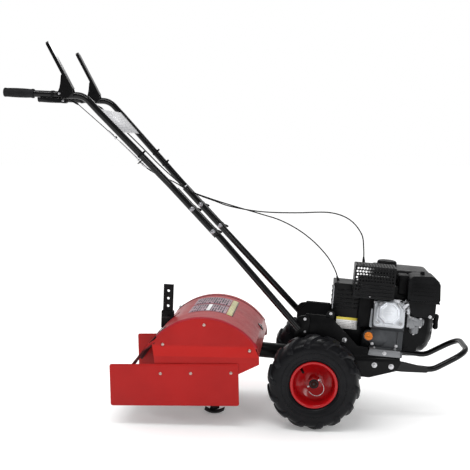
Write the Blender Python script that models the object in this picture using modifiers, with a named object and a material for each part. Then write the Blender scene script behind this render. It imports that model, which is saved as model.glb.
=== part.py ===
"""Walk-behind two-wheel petrol rear-tine tiller.

Metres, +X forward, +Y to the operator's left, +Z up, wheels and tines standing on Z = 0.
Machine places are given from the point on the ground under the wheel axle; chassis places are given
from the axle in a frame that leans nose down; tiller places are given from the rotor axis.
"""
import math

import bmesh
import bpy
from mathutils import Vector

GAP = 0.0003                       # space between touching pieces

# Driving dimensions
AXLE_X = 0.2825                    # wheel axle ahead of the middle of the overall length
TYRE_RADIUS = 0.172
TYRE_HALF_WIDTH = 0.0635
TRACK_HALF = 0.223                 # wheel mid-plane from the centre line
CHASSIS_TILT = math.radians(4.5)   # engine deck leans nose down
TILLER_TILT = math.radians(-1.2)   # hood and side boards lean nose up
AXLE_RADIUS = 0.0125
WORM_HEIGHT = 0.047                # drive shaft above the wheel axle, chassis frame
PLATE_Y = 0.140                    # frame side plates
PLATE_THICKNESS = 0.003
DECK_HEIGHT = 0.098                # top of the engine deck, chassis frame
CRANK_HEIGHT = 0.205               # crankshaft above the wheel axle, chassis frame
ROTOR_X = -0.395
ROTOR_Z = 0.175
TINE_RADIUS = 0.1748
BOARD_Y = 0.267
HOOD_Y = 0.2625
HOOD_RADIUS = 0.240
TUBE_RADIUS = 0.0125
TUBE_WALL = 0.002
FOLD_X, FOLD_Z = -0.380, 0.713     # handlebar fold axis
LEVER_X, LEVER_Z = -0.934, 1.2205  # lever pivots
GRIP_Y = 0.204
STAKE_LEAN = math.radians(2.4)
SIDES = {"right": -1, "left": 1}


# Scene ---------------------------------------------------------------------------------------

def clear_scene():
    for obj in list(bpy.data.objects):
        bpy.data.objects.remove(obj, do_unlink=True)


def new_collection(name):
    collection = bpy.data.collections.new(name)
    bpy.context.scene.collection.children.link(collection)
    return collection


clear_scene()
PARTS = new_collection("rear_tine_tiller")
CUTTERS = new_collection("cutters")
CUTTERS.hide_render = True


def material(name, colour, roughness, metallic=0.0):
    made = bpy.data.materials.new(name)
    made.use_nodes = True
    shader = made.node_tree.nodes["Principled BSDF"]
    shader.inputs["Base Color"].default_value = (*colour, 1.0)
    shader.inputs["Roughness"].default_value = roughness
    shader.inputs["Metallic"].default_value = metallic
    return made


RED = material("red_paint", (0.45, 0.02, 0.018), 0.3)
RIM_RED = material("rim_red_paint", (0.45, 0.012, 0.02), 0.25)
BLACK = material("black_paint", (0.012, 0.012, 0.014), 0.35)
DARK_STEEL = material("dark_steel", (0.05, 0.05, 0.052), 0.5, 0.8)
STEEL = material("zinc_steel", (0.6, 0.6, 0.6), 0.3, 1.0)
ALUMINIUM = material("cast_aluminium", (0.7, 0.72, 0.74), 0.4, 0.9)
CASTING = material("dark_casting", (0.09, 0.095, 0.1), 0.55, 0.5)
RUBBER = material("tyre_rubber", (0.013, 0.013, 0.014), 0.8)
GRIP_RUBBER = material("grip_rubber", (0.015, 0.015, 0.016), 0.75)
BLACK_PLASTIC = material("black_plastic", (0.014, 0.014, 0.016), 0.4)
CABLE_JACKET = material("cable_jacket", (0.012, 0.012, 0.012), 0.45)
PANEL_WHITE = material("panel_white", (0.75, 0.75, 0.75), 0.5)
ORANGE = material("orange_cap", (0.7, 0.22, 0.03), 0.45)


def empty(name, location, rotation=(0, 0, 0), parent=None):
    made = bpy.data.objects.new(name, None)
    PARTS.objects.link(made)
    made.location = location
    made.rotation_euler = rotation
    made.parent = parent
    return made


MACHINE = empty("machine_frame", (AXLE_X, 0, 0))
CHASSIS = empty("chassis_frame", (0, 0, TYRE_RADIUS), (0, CHASSIS_TILT, 0), MACHINE)
TILLER = empty("tiller_frame", (ROTOR_X, 0, ROTOR_Z), (0, TILLER_TILT, 0), MACHINE)


# Shape helpers -------------------------------------------------------------------------------

ALONG_X = (0, math.pi / 2, 0)
ALONG_Y = (-math.pi / 2, 0, 0)
ALONG_Z = (0, 0, 0)


def place(name, data, mat, parent, location=(0, 0, 0), rotation=(0, 0, 0), cutter=False):
    obj = bpy.data.objects.new(name, data)
    (CUTTERS if cutter else PARTS).objects.link(obj)
    if cutter:
        obj.hide_render = True
        obj.display_type = "WIRE"
    else:
        data.materials.append(mat)
    obj.location = location
    obj.rotation_euler = rotation
    obj.parent = parent
    return obj


def mesh_from(name, fill):
    mesh = bpy.data.meshes.new(name)
    bm = bmesh.new()
    fill(bm)
    bm.to_mesh(mesh)
    bm.free()
    return mesh


def smooth(obj, angle=35):
    obj.data.shade_smooth()
    obj.data.set_sharp_from_angle(angle=math.radians(angle))
    return obj


def bevel(obj, width, segments=2):
    modifier = obj.modifiers.new("Bevel", "BEVEL")
    modifier.width = width
    modifier.segments = segments
    modifier.limit_method = "ANGLE"
    return obj


def block(name, size, centre, mat, parent, rotation=(0, 0, 0), cutter=False):
    def fill(bm):
        bmesh.ops.create_cube(bm, size=1.0)
        bmesh.ops.scale(bm, vec=size, verts=bm.verts)
    return place(name, mesh_from(name, fill), mat, parent, centre, rotation, cutter)


def rod(name, radius, length, centre, axis, mat, parent, segments=24, cutter=False):
    def fill(bm):
        bmesh.ops.create_cone(bm, cap_ends=True, segments=segments, radius1=radius,
                              radius2=radius, depth=length)
    obj = place(name, mesh_from(name, fill), mat, parent, centre, axis, cutter)
    return obj if cutter else smooth(obj)


def turned(name, profile, closed, mat, parent, centre, axis, steps=32, cutter=False):
    """A profile of (radius, height) turned about an axis; it runs down its outer side."""
    def fill(bm):
        points = [bm.verts.new((radius, 0.0, height)) for radius, height in profile]
        for first, second in zip(points, points[1:]):
            bm.edges.new((first, second))
        if closed:
            bm.edges.new((points[-1], points[0]))
    obj = place(name, mesh_from(name, fill), mat, parent, centre, axis, cutter)
    screw = obj.modifiers.new("Screw", "SCREW")
    screw.steps = steps
    screw.render_steps = steps
    screw.use_merge_vertices = True
    screw.merge_threshold = 0.00001
    screw.use_smooth_shade = True
    return obj


def pipe(name, outer, inner, length, mat, parent, centre, axis, steps):
    half = length / 2
    profile = [(outer, half), (outer, -half), (inner, -half), (inner, half)]
    return turned(name, profile, True, mat, parent, centre, axis, steps)


def flat_curve(name, outlines, thickness):
    curve = bpy.data.curves.new(name, "CURVE")
    curve.dimensions = "2D"
    curve.fill_mode = "BOTH"
    curve.extrude = thickness / 2
    for outline in outlines:
        spline = curve.splines.new("POLY")
        spline.points.add(len(outline) - 1)
        for point, (along, up) in zip(spline.points, outline):
            point.co = (along, up, 0.0, 1.0)
        spline.use_cyclic_u = True
    return curve


def side_plate(name, outlines, thickness, across, mat, parent, cutter=False):
    """An outline in X and Z, as thick as stated along Y, with its middle at the place given."""
    curve = flat_curve(name, outlines, thickness)
    return place(name, curve, mat, parent, (0, across, 0), (math.pi / 2, 0, 0), cutter)


def end_plate(name, outlines, thickness, along, mat, parent):
    """An outline in Y and Z, as thick as stated along X."""
    curve = flat_curve(name, outlines, thickness)
    return place(name, curve, mat, parent, (along, 0, 0), (math.pi / 2, 0, math.pi / 2))


def tube(name, points, radius, mat, parent, wall=0.0, resolution=2, cutter=False):
    curve = bpy.data.curves.new(name, "CURVE")
    curve.dimensions = "3D"
    curve.bevel_depth = radius
    curve.bevel_resolution = resolution
    curve.use_fill_caps = wall == 0.0
    spline = curve.splines.new("POLY")
    spline.points.add(len(points) - 1)
    for point, co in zip(spline.points, points):
        point.co = (*co, 1.0)
    spline.use_smooth = True
    obj = place(name, curve, mat, parent, cutter=cutter)
    if wall:
        solid = obj.modifiers.new("Wall", "SOLIDIFY")
        solid.thickness = wall
        solid.offset = -1.0
    return obj


def to_mesh_object(obj, cutter=False):
    """Turns a curve into a mesh object with its caps welded, so that a Boolean can use it."""
    bpy.context.view_layer.update()
    evaluated = obj.evaluated_get(bpy.context.evaluated_depsgraph_get())
    mesh = bpy.data.meshes.new_from_object(evaluated)
    bm = bmesh.new()
    bm.from_mesh(mesh)
    bmesh.ops.remove_doubles(bm, verts=bm.verts, dist=0.00001)
    bmesh.ops.recalc_face_normals(bm, faces=bm.faces)
    bm.to_mesh(mesh)
    bm.free()
    name, world, mats = obj.name, obj.matrix_world.copy(), list(obj.data.materials)
    bpy.data.objects.remove(obj, do_unlink=True)
    made = bpy.data.objects.new(name, mesh)
    (CUTTERS if cutter else PARTS).objects.link(made)
    made.matrix_world = world
    if cutter:
        made.hide_render = True
        made.display_type = "WIRE"
    elif not mesh.materials:
        mesh.materials.append(mats[0])
    return made


def boolean(obj, other, operation):
    modifier = obj.modifiers.new(operation.title(), "BOOLEAN")
    modifier.operation = operation
    modifier.object = other
    return obj


def cut(obj, *others):
    for other in others:
        boolean(obj, other, "DIFFERENCE")
    return obj


def join(obj, *others):
    for other in others:
        boolean(obj, other, "UNION")
    return obj


def arc(centre, radius, start, end, count):
    """Points on an arc in degrees, both ends included."""
    points = []
    for index in range(count + 1):
        angle = math.radians(start + (end - start) * index / count)
        points.append((centre[0] + radius * math.cos(angle), centre[1] + radius * math.sin(angle)))
    return points


def circle(centre, radius, count=20):
    return arc(centre, radius, 0, 360 - 360 / count, count - 1)


def filleted(points, radius, count=5):
    """The corners of an open 3D path rounded off."""
    path = [Vector(point) for point in points]
    result = [path[0]]
    for before, corner, after in zip(path, path[1:], path[2:]):
        into = (before - corner).normalized()
        out = (after - corner).normalized()
        half = into.angle(out) / 2
        reach = min(radius / math.tan(half), 0.45 * (before - corner).length,
                    0.45 * (after - corner).length)
        start, end = corner + into * reach, corner + out * reach
        for index in range(count + 1):
            share = index / count
            near = start.lerp(corner, share)
            far = corner.lerp(end, share)
            result.append(near.lerp(far, share))
    result.append(path[-1])
    return [tuple(point) for point in result]


def smooth_path(points, spacing):
    """A Catmull-Rom curve through the route's own points, read at an even spacing."""
    route = [Vector(point) for point in points]
    ends = [2 * route[0] - route[1]] + route + [2 * route[-1] - route[-2]]
    fine = []
    for a, b, c, d in zip(ends, ends[1:], ends[2:], ends[3:]):
        for index in range(20):
            t = index / 20
            fine.append(0.5 * (2 * b + (c - a) * t + (2 * a - 5 * b + 4 * c - d) * t * t
                               + (3 * b - a - 3 * c + d) * t * t * t))
    fine.append(route[-1])
    length = sum((q - p).length for p, q in zip(fine, fine[1:]))
    count = max(2, round(length / spacing))
    result, walked, target = [fine[0]], 0.0, length / count
    for p, q in zip(fine, fine[1:]):
        step = (q - p).length
        while walked + step >= target - 1e-9 and len(result) < count:
            result.append(p.lerp(q, (target - walked) / step))
            target += length / count
        walked += step
    result.append(fine[-1])
    return [tuple(point) for point in result]


def open_box(name, size, centre, wall, open_faces, mat, parent):
    """A sheet box without the faces named by their outward direction, given a wall thickness."""
    def fill(bm):
        bmesh.ops.create_cube(bm, size=1.0)
        bmesh.ops.scale(bm, vec=size, verts=bm.verts)
        gone = [face for face in bm.faces
                if tuple(round(part) for part in face.normal) in open_faces]
        bmesh.ops.delete(bm, geom=gone, context="FACES")
    obj = place(name, mesh_from(name, fill), mat, parent, centre)
    solid = obj.modifiers.new("Wall", "SOLIDIFY")
    solid.thickness = wall
    solid.offset = -1.0
    return obj


def local_place(x, z, origin, tilt):
    """A machine-frame place given in a frame that leans about Y at its own origin."""
    across, up = x - origin[0], z - origin[1]
    cos, sin = math.cos(tilt), math.sin(tilt)
    return (across * cos - up * sin, across * sin + up * cos)


# Wheels and axle -----------------------------------------------------------------------------

HUB_BORE = AXLE_RADIUS + GAP
RIM_LIP = 0.0865
BEAD = 0.0795
WHEEL_STEPS = 28
WHEEL_PIN_Y = 0.2475
PIN_LEAN = math.radians(58)        # the lock pins at rest, from upright towards the front
AXLE_END = 0.262
AXLE_GEAR_RADIUS = 0.034


def wheel_axle():
    axle = empty("axle_axis", (0, 0, TYRE_RADIUS), (0, 0, 0), MACHINE)
    gear_half = 0.009
    profile = [(0, AXLE_END), (AXLE_RADIUS, AXLE_END), (AXLE_RADIUS, gear_half),
               (AXLE_GEAR_RADIUS, gear_half), (AXLE_GEAR_RADIUS, -gear_half),
               (AXLE_RADIUS, -gear_half), (AXLE_RADIUS, -AXLE_END), (0, -AXLE_END)]
    shaft = turned("axle_shaft", profile, False, STEEL, axle, (0, 0, 0), ALONG_Y, 24)
    pin_seat = empty("pin_seat", (0, 0, 0), (0, PIN_LEAN, 0), axle)
    for side, sign in SIDES.items():
        drill = rod("pin_hole_" + side, 0.0043, 0.08, (0, sign * WHEEL_PIN_Y, 0), ALONG_Z,
                    None, pin_seat, 16, cutter=True)
        cut(shaft, drill)
        cut(wheel(side, sign, axle), drill)
        lock_pin(side, sign, pin_seat)


def wheel(side, sign, axle):
    centre = (0, sign * TRACK_HALF, 0)
    outward = (-sign * math.pi / 2, 0, 0)
    seat, lip_clear = 0.0485, RIM_LIP + 0.0020
    tyre = [(0.150, 0.0620), (0.167, 0.048), (TYRE_RADIUS, 0.028), (TYRE_RADIUS, -0.028),
            (0.167, -0.048), (0.150, -0.0620), (0.118, -TYRE_HALF_WIDTH), (lip_clear, -0.056),
            (lip_clear, -seat), (BEAD, -seat), (BEAD, -0.038), (0.115, -0.050), (0.155, -0.040),
            (0.155, 0.040), (0.115, 0.050), (BEAD, 0.038), (BEAD, seat), (lip_clear, seat),
            (lip_clear, 0.056), (0.118, TYRE_HALF_WIDTH)]
    turned("tyre_" + side, tyre, True, RUBBER, axle, centre, outward, WHEEL_STEPS)
    barrel, inner = BEAD - GAP, seat + GAP
    rim = [(0.079, 0.0555), (RIM_LIP, 0.053), (RIM_LIP, inner), (barrel, inner),
           (barrel, -inner), (RIM_LIP, -inner), (RIM_LIP, -0.053), (0.079, -0.0555),
           (0.0745, -0.0525), (0.074, -0.010), (0.040, -0.022), (0.019, -0.024),
           (HUB_BORE, -0.024), (HUB_BORE, 0.035), (0.019, 0.035), (0.019, -0.017),
           (0.038, -0.016), (0.070, 0.0), (0.0745, 0.0525)]
    return turned("rim_" + side, rim, True, RIM_RED, axle, centre, outward, WHEEL_STEPS)


def lock_pin(side, sign, seat):
    """A straight pin through hub and axle with a spring-wire bow that snaps round the hub end."""
    across = sign * WHEEL_PIN_Y
    pin = rod("lock_pin_" + side, 0.0040, 0.052, (0, across, 0), ALONG_Z, STEEL, seat, 12)
    out = sign * (AXLE_END + 0.004)
    bow = [(0, across, 0.0235), (0.003, sign * 0.256, 0.0262), (0.013, out, 0.0275),
           (0.028, out, 0.0250), (0.040, out, 0.0150), (0.0445, out, 0.0), (0.040, out, -0.0150),
           (0.028, out, -0.0250), (0.013, out, -0.0290)]
    wire = tube("pin_bow_" + side, smooth_path(bow, 0.010), 0.0014, None, seat, cutter=True)
    join(pin, to_mesh_object(wire, cutter=True))


# Drive line ----------------------------------------------------------------------------------

BORE = 0.0135
SHAFT_RADIUS = 0.0095
TINE_GEAR_RADIUS = 0.058
ROTOR_U, ROTOR_W = local_place(ROTOR_X, ROTOR_Z, (0, TYRE_RADIUS), CHASSIS_TILT)
PULLEY_U = 0.125
BOOM_REAR, BOOM_FRONT = -0.330, -0.0855


def gearbox_housing():
    """The axle worm gearbox: a drum round the axle with a boss along the drive shaft."""
    bore = AXLE_RADIUS + 0.0002
    drum = [(0.024, 0.137), (0.024, 0.052), (0.053, 0.047), (0.053, -0.047), (0.024, -0.052),
            (0.024, -0.137), (bore, -0.137), (bore, -0.016), (0.037, -0.016), (0.037, 0.016),
            (bore, 0.016), (bore, 0.137)]
    housing = turned("gearbox_housing", drum, True, CASTING, CHASSIS, (0, 0, 0), ALONG_Y, 24)
    boss = rod("gearbox_boss", 0.030, 0.170, (0, 0, WORM_HEIGHT), ALONG_X, None, CHASSIS, 20, True)
    hole = rod("gearbox_bore", BORE, 0.30, (0, 0, WORM_HEIGHT), ALONG_X, None, CHASSIS, 16, True)
    pocket = rod("gearbox_pocket", 0.037, 0.032, (0, 0, 0), ALONG_Y, None, CHASSIS, 24, True)
    join(housing, boss)
    cut(housing, hole, pocket)


def drive_boom():
    pipe("drive_boom", 0.030, 0.0255, BOOM_FRONT - BOOM_REAR, BLACK, CHASSIS,
         ((BOOM_FRONT + BOOM_REAR) / 2, 0, WORM_HEIGHT), ALONG_X, 24)


def tine_gearcase():
    half, pocket_half, bore = 0.027, 0.015, 0.0127
    drum = [(0.030, half + 0.010), (0.034, half), (0.071, half - 0.006), (0.071, 0.006 - half),
            (0.034, -half), (0.030, -half - 0.010), (bore, -half - 0.010), (bore, -pocket_half),
            (0.061, -pocket_half), (0.061, pocket_half), (bore, pocket_half),
            (bore, half + 0.010)]
    case = turned("tine_gearcase", drum, True, CASTING, CHASSIS, (ROTOR_U, 0, ROTOR_W), ALONG_Y, 24)
    rear, front = -0.462, BOOM_REAR - GAP
    boss = rod("gearcase_boss", 0.028, front - rear, ((front + rear) / 2, 0, WORM_HEIGHT), ALONG_X,
               None, CHASSIS, 20, True)
    blind = -0.450
    hole = rod("gearcase_bore", BORE, -0.30 - blind, ((blind - 0.30) / 2, 0, WORM_HEIGHT), ALONG_X,
               None, CHASSIS, 16, True)
    pocket = rod("gearcase_pocket", 0.061, 2 * pocket_half, (ROTOR_U, 0, ROTOR_W), ALONG_Y, None,
                 CHASSIS, 24, True)
    join(case, boss)
    cut(case, hole, pocket)


def drive_shaft():
    """The worm shaft that runs through the boom, with a worm at each gear and a pulley in front."""
    worm_tine, worm_axle = 0.0135 - 0.0006, 0.0118
    rear, front = -0.446, 0.138
    profile = [(0, front), (SHAFT_RADIUS, front), (SHAFT_RADIUS, 0.035), (worm_axle, 0.030),
               (worm_axle, -0.030), (SHAFT_RADIUS, -0.035), (SHAFT_RADIUS, -0.352),
               (worm_tine, -0.358), (worm_tine, -0.430), (SHAFT_RADIUS, -0.436),
               (SHAFT_RADIUS, rear), (0, rear)]
    turned("drive_shaft", profile, False, STEEL, CHASSIS, (0, 0, WORM_HEIGHT), ALONG_X, 16)


def pulley(name, radius, bore, height):
    half, flange, groove = 0.010, radius, radius - 0.009
    profile = [(0.018, 0.016), (0.018, half), (flange, half), (groove, 0.0062),
               (groove, -0.0062), (flange, -half), (bore, -half), (bore, 0.016)]
    return turned(name, profile, True, DARK_STEEL, CHASSIS, (PULLEY_U, 0, height), ALONG_X, 24)


DRIVEN_RADIUS, DRIVER_RADIUS = 0.052, 0.038


def belt_outline(extra):
    """The outer line of a belt round both pulleys, a stated distance outside their grooves."""
    low, high = DRIVEN_RADIUS - 0.009 + extra, DRIVER_RADIUS - 0.009 + extra
    lean = math.degrees(math.asin((low - high) / (CRANK_HEIGHT - WORM_HEIGHT)))
    top = arc((0, CRANK_HEIGHT), high, lean, 180 - lean, 12)
    bottom = arc((0, WORM_HEIGHT), low, 180 - lean, 360 + lean, 14)
    return top + bottom


def belt_drive():
    pulley("driven_pulley", DRIVEN_RADIUS, SHAFT_RADIUS + GAP, WORM_HEIGHT)
    pulley("engine_pulley", DRIVER_RADIUS, 0.0103, CRANK_HEIGHT)
    end_plate("drive_belt", [belt_outline(0.0075), belt_outline(0.0005)], 0.0095, PULLEY_U,
              GRIP_RUBBER, CHASSIS)


# Frame ---------------------------------------------------------------------------------------

def frame_plates():
    outline = [(-0.085, 0.150), (-0.085, 0.190), (-0.048, 0.2325), (0.044, 0.2325),
               (0.070, 0.205), (0.150, 0.130), (0.190, 0.127), (0.197, 0.0975),
               (0.311, 0.0975), (0.316, 0.078), (0.303, 0.048), (0.205, 0.014), (0.172, 0.014),
               (0.110, 0.030), (0.052, 0.010)] + arc((0, 0), 0.036, 0, -180, 8) + [(-0.052, 0.060)]
    hole = circle((0, 0), 0.0255, 20)
    for side, sign in SIDES.items():
        side_plate("frame_side_" + side, [outline, hole], PLATE_THICKNESS, sign * PLATE_Y, BLACK,
                   CHASSIS)


PLATE_INNER = PLATE_Y - PLATE_THICKNESS / 2 - GAP


def frame_decks():
    block("engine_deck", (0.158, 2 * PLATE_INNER, 0.004), (0.233, 0, DECK_HEIGHT - 0.002), BLACK,
          CHASSIS)
    fold = [(-0.0835, 0.150), (-0.0835, 0.1885), (-0.047, 0.2300), (0.042, 0.2300),
            (0.042, 0.2275), (-0.0458, 0.2275), (-0.081, 0.1875), (-0.081, 0.150)]
    side_plate("frame_top_plate", [fold], 2 * PLATE_INNER, 0, BLACK, CHASSIS)


def front_bumper():
    leg_y, drop = 0.126, 0.062
    half = [(0.185, leg_y, 0.066), (0.330, leg_y, 0.066), (0.437, leg_y - 0.006, drop),
            (0.5605, 0.114, 0.142)]
    path = [(x, -y, z) for x, y, z in half] + half[::-1]
    tube("front_bumper", filleted(path, 0.075, 5), 0.0115, BLACK, CHASSIS, TUBE_WALL, 2)


def belt_cover():
    size, centre = (0.122, 0.132, 0.2405), (0.108, 0, 0.2270)
    cover = open_box("belt_cover", size, centre, 0.002, [(0, 0, -1), (1, 0, 0)], BLACK, CHASSIS)
    bevel(cover, 0.003, 1)


# Engine --------------------------------------------------------------------------------------

ENGINE_REAR, ENGINE_FRONT = 0.200, 0.318
HEAD_TILT = math.radians(-12)


def crankcase():
    """The cast block: foot, crankcase and the inclined cylinder seat, bored for the crankshaft."""
    outline = [(0.085, 0.120), (0.085, 0.236), (0.030, 0.252), (-0.070, 0.302),
               (-0.1055, 0.302), (-0.1267, 0.202), (-0.106, 0.190), (-0.106, 0.120),
               (-0.140, 0.120), (-0.140, DECK_HEIGHT + GAP), (0.120, DECK_HEIGHT + GAP),
               (0.120, 0.120)]
    middle, width = (ENGINE_REAR + ENGINE_FRONT) / 2, ENGINE_FRONT - ENGINE_REAR
    case = to_mesh_object(end_plate("crankcase", [outline], width, middle, CASTING, CHASSIS))
    bore = rod("crank_bore", 0.0133, 0.2, (middle, 0, CRANK_HEIGHT), ALONG_X, None, CHASSIS, 24, True)
    neck = rod("oil_neck", 0.0155, 0.050, (0.190, -0.090, 0.166), ALONG_Y, None, CHASSIS, 20, True)
    join(case, neck)
    cut(case, bore)


def crankshaft():
    rear, front = 0.106, 0.352
    profile = [(0, front), (0.0130, front), (0.0130, 0.190), (0.010, 0.185), (0.010, rear),
               (0, rear)]
    turned("crankshaft", profile, False, STEEL, CHASSIS, (0, 0, CRANK_HEIGHT), ALONG_X, 20)


def cylinder_head():
    seat = empty("head_seat", (0.257, -0.1055, 0.302), (HEAD_TILT, 0, 0), CHASSIS)
    depth = 0.044
    head = block("cylinder_head", (0.114, depth, 0.100), (0, -GAP - depth / 2, -0.050), ALUMINIUM,
                 seat)
    bevel(head, 0.012, 2)
    face = -GAP - depth - GAP
    cover = turned("rocker_cover",
                   [(0, 0.040), (0.034, 0.040), (0.041, 0.036), (0.043, 0.010), (0.052, 0.010),
                    (0.052, 0), (0, 0)],
                   False, ALUMINIUM, seat, (0, face, -0.046), (math.pi / 2, 0, 0), 8)
    cover.rotation_euler = (math.pi / 2, math.radians(22.5), 0)
    for polygon_screw in cover.modifiers:
        polygon_screw.use_smooth_shade = False


def fan_housing():
    """The recoil and fan shroud, open towards the crankcase, with a hole for the starter rope."""
    profile = [(0, 0.110), (0.060, 0.110), (0.078, 0.102), (0.100, 0.078), (0.100, 0.0),
               (0.0975, 0.0), (0.0975, 0.077), (0.077, 0.0995), (0.059, 0.1075), (0, 0.1075)]
    housing = turned("fan_housing", profile, False, BLACK_PLASTIC, CHASSIS,
                     (0.3195, 0, CRANK_HEIGHT), ALONG_X, 28)
    hole = rod("rope_hole", 0.0045, 0.03, (0.4295, 0, 0.222), ALONG_X, None, CHASSIS, 16, True)
    cut(housing, hole)


def starter_grip():
    """The pull handle with the stub of its rope, which runs straight out of the shroud."""
    base = 0.4375
    grip = block("starter_grip", (0.022, 0.018, 0.062), (base + 0.011, 0, 0.222), BLACK_PLASTIC,
                 CHASSIS)
    bevel(grip, 0.006, 2)
    rope = rod("starter_rope", 0.0030, 0.085, (base - 0.0375, 0, 0.222), ALONG_X, None, CHASSIS, 12,
               True)
    join(grip, rope)


def air_cleaner():
    outline = [(0.274, 0.375), (0.296, 0.412), (0.399, 0.419), (0.427, 0.397), (0.433, 0.319),
               (0.421, 0.311), (0.421, 0.262), (0.335, 0.262), (0.318, 0.310)]
    box = to_mesh_object(side_plate("air_cleaner", [outline], 0.128, -0.109, BLACK_PLASTIC,
                                    CHASSIS))
    bevel(box, 0.006, 2)
    cavity = block("cleaner_cavity", (0.092, 0.120, 0.070), (0.361, -0.100, 0.353), None, CHASSIS,
                   cutter=True)
    cut(box, cavity)
    nest = rod("shroud_clearance", 0.1008, 0.30, (0.40, 0, CRANK_HEIGHT), ALONG_X, None, CHASSIS,
               36, True)
    cut(box, nest)


TANK_TOP = 0.4120


def fuel_tank():
    size, centre = (0.226, 0.200, 0.078), (0.300, 0.065, TANK_TOP - 0.039)
    wall = 0.002
    tank = bevel(block("fuel_tank", size, centre, BLACK, CHASSIS), 0.018, 3)
    inner = tuple(part - 2 * wall for part in size)
    hollow = bevel(block("tank_hollow", inner, centre, None, CHASSIS, cutter=True), 0.016, 3)
    neck = rod("tank_neck", 0.018, 0.03, (0.248, 0.065, TANK_TOP), ALONG_Z, None, CHASSIS, 24, True)
    cut(tank, hollow, neck)
    rim = TANK_TOP + GAP
    cap = [(0, 0.022), (0.030, 0.022), (0.037, 0.017), (0.038, 0.0), (0, 0.0)]
    turned("fuel_cap", cap, False, BLACK_PLASTIC, CHASSIS, (0.248, 0.065, rim), ALONG_Z, 32)


def muffler_guard():
    size, centre = (0.148, 0.105, 0.118), (0.189, -0.1285, 0.3765)
    guard = open_box("muffler_guard", size, centre, 0.0015, [(0, 0, -1)], BLACK, CHASSIS)
    bevel(guard, 0.004, 1)


def carburettor():
    body = bevel(block("carburettor", (0.056, 0.044, 0.040), (0.353, -0.1280, 0.2395), ALUMINIUM,
                       CHASSIS), 0.005, 1)
    bowl = rod("float_bowl", 0.018, 0.030, (0.352, -0.128, 0.208), ALONG_Z, None, CHASSIS, 20, True)
    join(body, bowl)


def oil_cap():
    cap = [(0, 0.020), (0.0085, 0.020), (0.0105, 0.012), (0.0165, 0.011), (0.0165, 0), (0, 0)]
    turned("oil_cap", cap, False, ORANGE, CHASSIS, (0.190, -0.115 - GAP, 0.166),
           (math.pi / 2, 0, 0), 24)


# Tiller --------------------------------------------------------------------------------------

def local_rotor(x, z):
    return local_place(x, z, (ROTOR_X, ROTOR_Z), TILLER_TILT)


HOOD_CENTRE = local_rotor(-0.406, 0.171)
FLAP_PIVOT = local_rotor(-0.586, 0.312)
HOOD_REAR_ANGLE, HOOD_FRONT_ANGLE = 135.0, 36.0


def hood_sides():
    rear = [local_rotor(-0.583, 0.236), local_rotor(-0.594, 0.318)]
    edge = arc(HOOD_CENTRE, HOOD_RADIUS, 139.5, HOOD_FRONT_ANGLE, 18)
    front = [local_rotor(-0.196, 0.2655), local_rotor(-0.196, 0.238), local_rotor(-0.300, 0.188),
             local_rotor(-0.575, 0.188)]
    holes = [circle(FLAP_PIVOT, 0.0042, 14)]
    for side, sign in SIDES.items():
        side_plate("hood_side_" + side, [rear + edge + front] + holes, 0.0025, sign * HOOD_Y, RED,
                   TILLER)


def hood_top():
    """The curved top sheet between the side plates, slotted for the depth stake."""
    wall = 0.0025
    outer = arc(HOOD_CENTRE, HOOD_RADIUS - 0.0005, HOOD_REAR_ANGLE, HOOD_FRONT_ANGLE, 20)
    foot = local_rotor(-0.1985, 0.2725)
    inner = arc(HOOD_CENTRE, HOOD_RADIUS - 0.0005 - wall, HOOD_FRONT_ANGLE, HOOD_REAR_ANGLE, 20)
    outline = outer + [foot, (foot[0] - wall, foot[1])] + inner
    width = 2 * (HOOD_Y - 0.00125 - GAP)
    sheet = to_mesh_object(side_plate("hood_top", [outline], width, 0, RED, TILLER))
    slot = block("stake_slot", (0.14, 0.037, 0.30), (-0.601, 0, 0.33), None, MACHINE, cutter=True)
    cut(sheet, slot)


def side_boards():
    low, high, rear, front, corner = -0.0926, 0.064, -0.355, 0.122, 0.008
    outline = (arc((front - corner, high - corner), corner, 90, 0, 3)
               + arc((front - corner, low + corner), corner, 0, -90, 3)
               + arc((rear + corner, low + corner), corner, -90, -180, 3)
               + arc((rear + corner, high - corner), corner, 180, 90, 3))
    for side, sign in SIDES.items():
        side_plate("side_board_" + side, [outline], 0.003, sign * BOARD_Y, RED, TILLER)


FLAP_ANGLE = math.radians(230.2)


def rear_flap():
    """The flap sheet with an ear and a hinge pin at each end, pivoting in the hood side plates."""
    hinge = empty("flap_axis", (FLAP_PIVOT[0], 0, FLAP_PIVOT[1]), (0, 0, 0), TILLER)
    down = (math.cos(FLAP_ANGLE), math.sin(FLAP_ANGLE))
    normal = (down[1], -down[0])
    offset, start, end, wall, width = 0.014, 0.012, 0.240, 0.0025, 0.508

    def at(along, away):
        return (down[0] * along + normal[0] * away, down[1] * along + normal[1] * away)

    outline = [at(start, offset), at(end, offset), at(end, offset - wall),
               at(start, offset - wall)]
    flap = to_mesh_object(side_plate("rear_flap", [outline], width, 0, RED, hinge))
    ear = arc((0, 0), 0.008, -60, 110, 8) + [at(start + 0.012, offset), at(start + 0.045, offset)]
    for side, sign in SIDES.items():
        lug = side_plate("flap_ear_" + side, [ear], 0.003, sign * (width / 2 - 0.001), None, hinge,
                         True)
        pin = rod("flap_pin_" + side, 0.0038, 0.014, (0, sign * (width / 2 + 0.004), 0), ALONG_Y,
                  None, hinge, 14, True)
        join(flap, to_mesh_object(lug, cutter=True), pin)
    notch = block("flap_notch", (0.08, 0.050, 0.08), (-0.018, 0, 0.012), None, hinge, cutter=True)
    cut(flap, notch)


STAKE_TOP = 0.489
STAKE_LENGTH = 0.420
STAKE_WIDTH, STAKE_THICK = 0.039, 0.010
STAKE_TOP_X = -0.5715


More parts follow.
